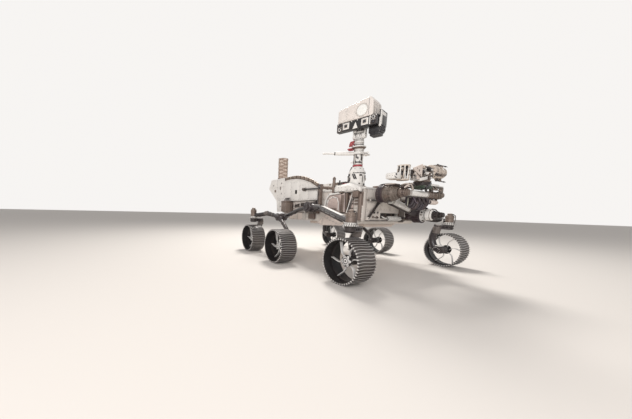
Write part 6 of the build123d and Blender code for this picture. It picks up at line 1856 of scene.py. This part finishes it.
# Forearm
# A white tube from the elbow's motor to the wrist; the wrist actuator's dark body continues it and
# ends in a rounded cap, with the cross housing that the wrist turns on.
fore = bmesh.new()
turned(fore, (1372.5, *ELBOW), X, [
    (0, 0), (0, 54), (3, 56), (30, 56), (34, 50), (40, 46), (66, 46), (70, 42), (86, 42), (90, 36),
    (102, 34), (107.5, 26), (107.5, 0)], 1, 48)
fins(fore, (1426, *ELBOW), 45, 10, (28, 6, 8), 1, (3,), "X")
turned(fore, (1410, *ELBOW), Y, [
    (20, 0), (20, 40), (70, 41), (74, 37), (94, 37), (98, 38), (478, 38), (482, 40), (498, 40), (500, 36),
    (500, 0)],
    0, 40)
for side in (-384, -356, 14):
    turned(fore, (1410, side, 1055), Y, [(0, 37), (0, 40.5), (9, 40.5), (9, 37)], 1, 40)
turned(fore, (1410, 40, 1055), Y, [
    (0, 0), (0, 46), (4, 47), (40, 47), (44, 43), (86, 42), (90, 47), (112, 47), (116, 40), (158, 38),
    (162, 42), (178, 42), (182, 47), (262, 47), (270, 45), (280, 36), (285, 20), (285, 0)], 1, 48)
turned(fore, (1410, 276, 1055), Y, [(0, 46), (0, 47.6), (10, 47.6), (10, 46)], 4, 40)
turned(fore, (1362, 270, 1055), X, [
    (0, 0), (0, 48), (3, 50), (30, 50), (33, 46), (63, 46), (66, 50), (93, 50), (96, 48), (96, 0)], 2, 40)
fins(fore, (1410, 62, 1055), 44, 12, (8, 36, 6), 1, (2,), "Y")
for aside, look in ((12, 4), (-6, 3)):
    tubing(fore, [(1412 + aside, -430, 1010), (1418 + aside, -300, 1008), (1414 + aside, -120, 1010),
                  (1412 + aside, 30, 1006), (1412 + aside, 120, 1003)], 6, look)
for side in (-330, -210, -90, 20):
    slab(fore, (1396, side - 6, 1001), (1430, side + 6, 1022), 2, 2)
for side in (196, 292):
    slab(fore, (1396, side - 12, 986), (1424, side + 12, 1014), 3, 2)
turned(fore, (1410, 150, 966), Y, [
    (0, 0), (0, 24), (4, 30), (44, 30), (47, 26), (60, 26), (63, 30), (128, 30), (132, 26), (150, 26),
    (154, 20), (180, 18), (180, 0)], 5, 32)
for n, drop in enumerate((96, 118, 132, 120, 138, 142, 128, 100)):
    side = -316 + 50 * n
    tubing(fore, [(1392, side - 22, 1012), (1372, side - 8, 1006 - drop * 0.5), (1380, side + 10,
        1006 - drop),
                  (1402, side + 44, 1004 - drop * 1.05), (1418, side + 66, 1006 - drop * 0.5),
                  (1412, side + 60, 1012)],
           (17, 14, 18, 15)[n % 4], (6, 6, 3, 6)[n % 4], 4, 12)
for n, look in enumerate((7, 6, 4, 6)):
    side = -290 + 92 * n
    tubing(fore, [(1440, side, 1008), (1432, side + 50, 960), (1428, side + 110, 930), (1420, side + 168,
        952),
                  (1416, side + 176, 1008)], 8, look)
for side, low in ((-338, 900), (48, 888), (70, 900)):
    tubing(fore, [(1404, side, 1012), (1410, side - 6, (1012 + low) / 2), (1404, side + 2, low),
                  (1396, side + 14, low + 8)], 4, 8)
for side, height, size, reach, look in ((-486, 1136, 15, 44, 2), (-448, 1150, 13, 60, 5), (-414, 1128, 17,
        52, 0),
                                        (-380, 1142, 14, 40, 3), (-400, 1158, 10, 66, 2), (-462, 1122, 12,
                                        70, 5)):
    turned(fore, (1400, side, height), X, [
        (0, 0), (0, size), (reach * 0.6, size), (reach * 0.66, size * 0.7), (reach, size * 0.6), (reach, 0)],
        look, 20)
slab(fore, (1392, -500, 1106), (1440, -366, 1122), 4, 3)
slab(fore, (1402, -430, 1118), (1452, -352, 1146), 4, 1)
for n, (look, lift) in enumerate(((5, 0), (2, 8), (5, 14), (4, 5))):
    tubing(fore, [(1440, -500 + 12 * n, 1104), (1468, -488 + 14 * n, 1134 + lift), (1474, -440 + 10 * n,
        1150 + lift),
                  (1466, -390 + 8 * n, 1138 + lift), (1450, -352 + 10 * n, 1100), (1440, -340 + 8 * n,
                  1090)], 6, look)
piece("forearm_and_wrist_motor", fore, "forearm",
      (white_paint, bronze_paint, grey_bronze, drum_paint, dark_works, pink_paint, harness_wrap, violet_wrap,
       pale_cable), ["forearm"])

# Wrist
# A fork round the wrist housing carries a white-over-dark bar on grey supports, and at the bar's end
# the turret's bearing in a dark green case with a black wedge beside it.
green_case = finish("green_case", (0.022, 0.040, 0.026), 0.4, dust=0.25, painted_shade=0.5, wear_and_highlight_colour=(0.20, 0.24, 0.20),
    relief=0.3)
wrist = bmesh.new()
slab(wrist, (1345, -170, 1145), (1475, 314, 1158), 3, 1)
slab(wrist, (1347, -60, 1158), (1474, 312, 1173.5), 4)
slab(wrist, (1440, -34, 1160), (1480, 186, 1184), 4)
for low, high in ((1343.5, 1361.5), (1458.5, 1476.5)):
    turned(wrist, (low, 270, 1055), X, [(0, 0), (0, 45), (2, 48), (16, 48), (18, 45), (18, 0)], 2, 40)
    slab(wrist, (low, 226, 1060), (high, 314, 1147), 4, 2)
    slab(wrist, (low + 2, 120, 1110), (high - 2, 160, 1146), 3, 2)
    slab(wrist, (low + 2, 20, 1112), (high - 2, 52, 1146), 3, 2)
turned(wrist, (1476, 270, 1055), X, [
    (0, 0), (0, 34), (12, 34), (15, 30), (22, 30), (28, 24), (31.5, 10), (31.5, 0)], 2, 32)
studs(wrist, [(1474, side, 1151) for side in range(-150, 300, 50)], X, 4, 3, 3)
slab(wrist, (1360, -232, 1111), (1519, -52, 1150), 9, 4)
turned(wrist, (1438, -140, 1148), Z, [
    (0, 0), (0, 90), (8, 93), (14, 93), (17, 84), (28, 84), (31, 92), (39, 92), (41, 88), (41, 0)], 1, 48)
slab(wrist, (1468, -226, 1130), (1531, -96, 1160), 5, 5, Matrix.Rotation(radians(30), 4, "X"))
for side in (-206, -172, -138, -104, -72):
    slab(wrist, (1516, side - 5, 1116), (1523, side + 5, 1144), 1.5, (4, 2)[side < -150])
for side in (250, 190, 100):
    tubing(wrist, [(1480, side, 1150), (1496, side - 12, 1128), (1498, side - 30, 1100), (1484, side - 46,
        1112),
                   (1478, side - 50, 1140)], 5.5, 3)
piece("wrist_fork", wrist, "wrist",
      (white_paint, dark_works, grey_bronze, bronze_paint, green_case, black_paint), ["wrist_bracket"])

# Turret
# Tools crowd round a central post: an open drum of pale bars with white canisters in it, a pinkish
# gusset plate with dark edges, a coring drill, and small motors, boxes and cables between them.
TURRET = (1438.0, -140.0)
BASKET = (1438, -540)
tan_case = finish("tan_case", (0.66, 0.57, 0.49), 0.5, dust=0.4, painted_shade=0.9, wear_and_highlight_colour=(0.84, 0.79, 0.72),
    relief=0.4)
turret = bmesh.new()
turned(turret, (*TURRET, 1190), Z, [
    (0, 0), (0, 90), (3, 94), (12, 94), (15, 82), (24, 80), (27, 72), (64, 70), (67, 80), (84, 80), (88, 64),
    (110, 60), (110, 0)], 0, 56)
fins(turret, (*TURRET, 1233), 74, 14, (18, 14, 38), 2, (3, 1, 2, 4))
slab(turret, (1380, -500, 1254), (1494, -20, 1296), 7, 1)
slab(turret, (1386, -300, 1292), (1480, -30, 1338), 9)
slab(turret, (1492, -332, 1200), (1524, -190, 1236), 6, 5, Matrix.Rotation(radians(12), 4, "X"))
slab(turret, (1488, -360, 1214), (1506, -180, 1222), 2, 4)
slab(turret, (1400, -336, 1204), (1492, -200, 1232), 6, 5)
for low, thick, look in ((1182, 12, 2), (1238, 8, 1), (1282, 8, 0), (1334, 14, 2)):
    turned(turret, (*BASKET, low), Z, [
        (0, 0), (0, 63), (2, 66), (thick - 2, 66), (thick, 63), (thick, 0)], look, 40)
for n in range(18):
    angle = tau * n / 18
    lean = angle + (0.22 if n % 2 else -0.22)
    bar(turret, (BASKET[0] + 62 * cos(angle), BASKET[1] + 62 * sin(angle), 1190),
        (BASKET[0] + 62 * cos(lean), BASKET[1] + 62 * sin(lean), 1338), 6, (2, 5, 5)[n % 3])
turned(turret, (*BASKET, 1190), Z, [(0, 0), (0, 40), (148, 40), (148, 0)], 4, 24)
for n, (height, size) in enumerate([(1212, 17), (1226, 14), (1262, 20), (1268, 15), (1310, 18), (1316, 14),
                                    (1222, 18), (1306, 16), (1258, 16), (1214, 15)]):
    angle = tau * n / 10 + 0.5
    turned(turret, (BASKET[0] + 30 * cos(angle), BASKET[1] + 30 * sin(angle), height), mm(cos(angle),
        sin(angle), 0),
           [(0, 0), (0, size), (22, size), (26, size * 0.6), (33, size * 0.5), (33, 0)], (5, 2, 3)[n % 3],
           20)
gusset = [(-475, 1320), (-300, 1380), (-290, 1210), (-370, 1202)]
settle(turret, sheet([(1499, *corner) for corner in gusset], mm(12, 0, 0), 0), look=6)
for n, (first, second) in enumerate(zip(gusset, gusset[1:] + gusset[:1])):
    bar(turret, (1505, *first), (1505, *second), 16, 11 if n else 7, 1)
for side, height, size in ((-360, 1300, 13), (-330, 1255, 9), (-400, 1318, 8)):
    turned(turret, (1510, side, height), X, [(0, 0), (0, size), (2, size), (2, 0)], 3, 20)
clutter = ((-262, 1350, 20, 62, 2), (-222, 1336, 16, 44, 5), (-180, 1352, 18, 54, 1), (-140, 1330, 22, 70,
    4),
           (-102, 1346, 15, 40, 5), (-66, 1330, 19, 58, 2), (-250, 1300, 17, 48, 4), (-205, 1282, 21, 64, 5),
           (-160, 1296, 15, 52, 2), (-118, 1280, 19, 60, 3), (-76, 1288, 16, 44, 1), (-40, 1300, 20, 50, 2),
           (-236, 1250, 15, 40, 3), (-190, 1244, 14, 52, 2), (-146, 1252, 17, 48, 4), (-98, 1244, 13, 56, 5),
           (-60, 1254, 15, 40, 1), (-420, 1262, 16, 46, 2), (-392, 1234, 14, 40, 5), (-438, 1224, 13, 38, 3))
for n, (side, height, size, reach, look) in enumerate(clutter):
    if n % 3:
        turned(turret, (1470, side, height), X, [
            (0, 0), (0, size), (reach * 0.5, size), (reach * 0.56, size * 0.7), (reach - 4, size * 0.66),
            (reach, size * 0.4), (reach, 0)], look, 20)
        turned(turret, (1470 + reach * 0.7, side, height), X, [
            (0, size * 0.64), (0, size * 0.82), (5, size * 0.82), (5, size * 0.64)], (4, 5)[n % 2], 20)
    else:
        slab(turret, (1468, side - size, height - size * 0.8), (1462 + reach, side + size,
            height + size * 0.8), 3, look)
        slab(turret, (1460 + reach, side - size * 0.6, height - size * 0.4),
             (1466 + reach, side + size * 0.5, height + size * 0.3), 1.5, (4, 5)[n % 2])
wires = (((-470, 1300), (-380, 1250), (-300, 1225), (-230, 1214), 3),
         ((-440, 1240), (-350, 1222), (-260, 1240), (-190, 1226), 4),
         ((-290, 1330), (-240, 1322), (-200, 1310), (-150, 1318), 5),
         ((-250, 1276), (-190, 1262), (-130, 1266), (-50, 1270), 3),
         ((-160, 1366), (-120, 1358), (-80, 1350), (-30, 1362), 4),
         ((-200, 1318), (-160, 1275), (-110, 1312), (-60, 1310), 6))
for n, (*way, look) in enumerate(wires):
    points = [(1520 - (n % 3) * 8 - abs(1.5 - step) * 8, side, height) for step,
        (side, height) in enumerate(way)]
    tubing(turret, [(1480, *way[0])] + points + [(1480, *way[-1])], 5, look)
for side in (-330, -250, -170, -90):
    slab(turret, (1370, side - 16, 1262), (1384, side + 18, 1300), 3, (2, 5)[side % 4 == 2])
piece("turret_tools", turret, "turret",
      (bronze_paint, dark_works, tan_case, grey_bronze, black_paint, white_paint, pink_paint),
      ["turret_core"])

# Coring drill
# Pale tan barrel with dark bands and a side motor, a stepped nose with the bit, and two dark prongs
# that stand above and below it to steady the tool on rock.
AXIS_Z = 1338.0
drill = bmesh.new()
turned(drill, (1438, -8.7, AXIS_Z), Y, [
    (0, 0), (0, 70), (6, 76), (40, 76), (44, 66), (70, 66), (74, 74), (108, 74), (112, 78), (118, 78),
    (121, 72), (206, 72), (209, 77), (218, 77), (222, 71), (282, 71), (296, 66), (316, 54), (329, 46),
    (329.7, 0)], 0, 56)
turned(drill, (1438, 318, AXIS_Z), Y, [(0, 0), (0, 34), (14, 34), (18, 28), (44, 26), (53, 18), (53, 0)], 2,
    32)
turned(drill, (1438, 368, AXIS_Z), Y, [(0, 0), (0, 15), (36, 14), (48, 9), (48, 0)], 3, 24)
for reach, look in ((112, 2), (214, 1)):
    turned(drill, (1438, -8.7 + reach, AXIS_Z), Y, [(0, 70), (0, 78), (7, 78), (7, 70)], look, 56)
fins(drill, (1438, 48, AXIS_Z), 68, 18, (12, 26, 10), 1.5, (1, 2, 4), "Y")
for side, height, low, high, look in ((20, -30, 22, 34, 1), (150, -42, 26, 60, 2), (176, 30, 12, 40, 4),
                                      (246, 12, 10, 26, 2), (262, -26, 12, 30, 1), (120, 34, 12, 26, 3)):
    slab(drill, (1490, side - low / 2, AXIS_Z + height - 10), (1490 + high * 0.6, side + low,
        AXIS_Z + height + 12),
         3, look)
for sign in (-1, 1):
    turned(drill, (1438, 171, AXIS_Z + 98 * sign), Y, [
        (0, 0), (0, 10), (22, 10), (24, 7), (190, 6.4), (192, 9), (214, 9), (216, 6), (244, 5), (260, 2),
        (260, 0)],
        1, 20)
    middle = AXIS_Z + sign * 84
    for side, look in ((178, 1), (262, 2)):
        slab(drill, (1424, side, middle - 15), (1452, side + 20, middle + 15), 4, look)
    slab(drill, (1429, 150, middle - 6), (1447, 300, middle + 6), 3, 2)
turned(drill, (1500, 60, 1300), Y, [
    (0, 0), (0, 16), (46, 16), (50, 12), (120, 12), (124, 15), (160, 15), (164, 9), (190, 9), (190, 0)], 2,
    24)
tubing(drill, [(1490, 0, 1300), (1512, 40, 1282), (1514, 110, 1278), (1500, 160, 1290), (1496, 210, 1310)],
    6, 1)
tubing(drill, [(1470, -4, 1402), (1476, 60, 1416), (1468, 130, 1419), (1456, 186, 1424)], 5, 2)
piece("drill_and_prongs", drill, "turret",
      (tan_case, dark_works, bronze_paint, grey_bronze, white_paint), ["drill"])

# Turret sensor
# A white rounded instrument head with a small black window and a dark seal, held on a tan stalk.
sensor = bmesh.new()
slab(sensor, (1370, -767, 1180), (1486, -648, 1249), 20)
turned(sensor, (1428, -690, 1178.5), Z, [(0, 0), (0, 46), (4, 48), (7, 48), (7, 0)], 2, 32)
turned(sensor, (1483, -742, 1226), X, [(0, 0), (0, 11), (3, 12), (4.6, 9), (4.6, 0)], 1, 24)
tubing(sensor, [(1478, -764, 1208), (1485, -752, 1194), (1486, -730, 1188)], 4, 1)
slab(sensor, (1409, -652, 1201), (1467, -606, 1233), 6, 2)
studs(sensor, [(1400 + 28 * n, -767, 1214) for n in range(3)], -Y, 4, 2, 3)
tubing(sensor, [(1440, -660, 1232), (1448, -640, 1244), (1446, -612, 1238)], 6, 3)
piece("sensor_head", sensor, "turret", (white_paint, black_paint, tan_case, bronze_paint),
      ["turret_sensor"])
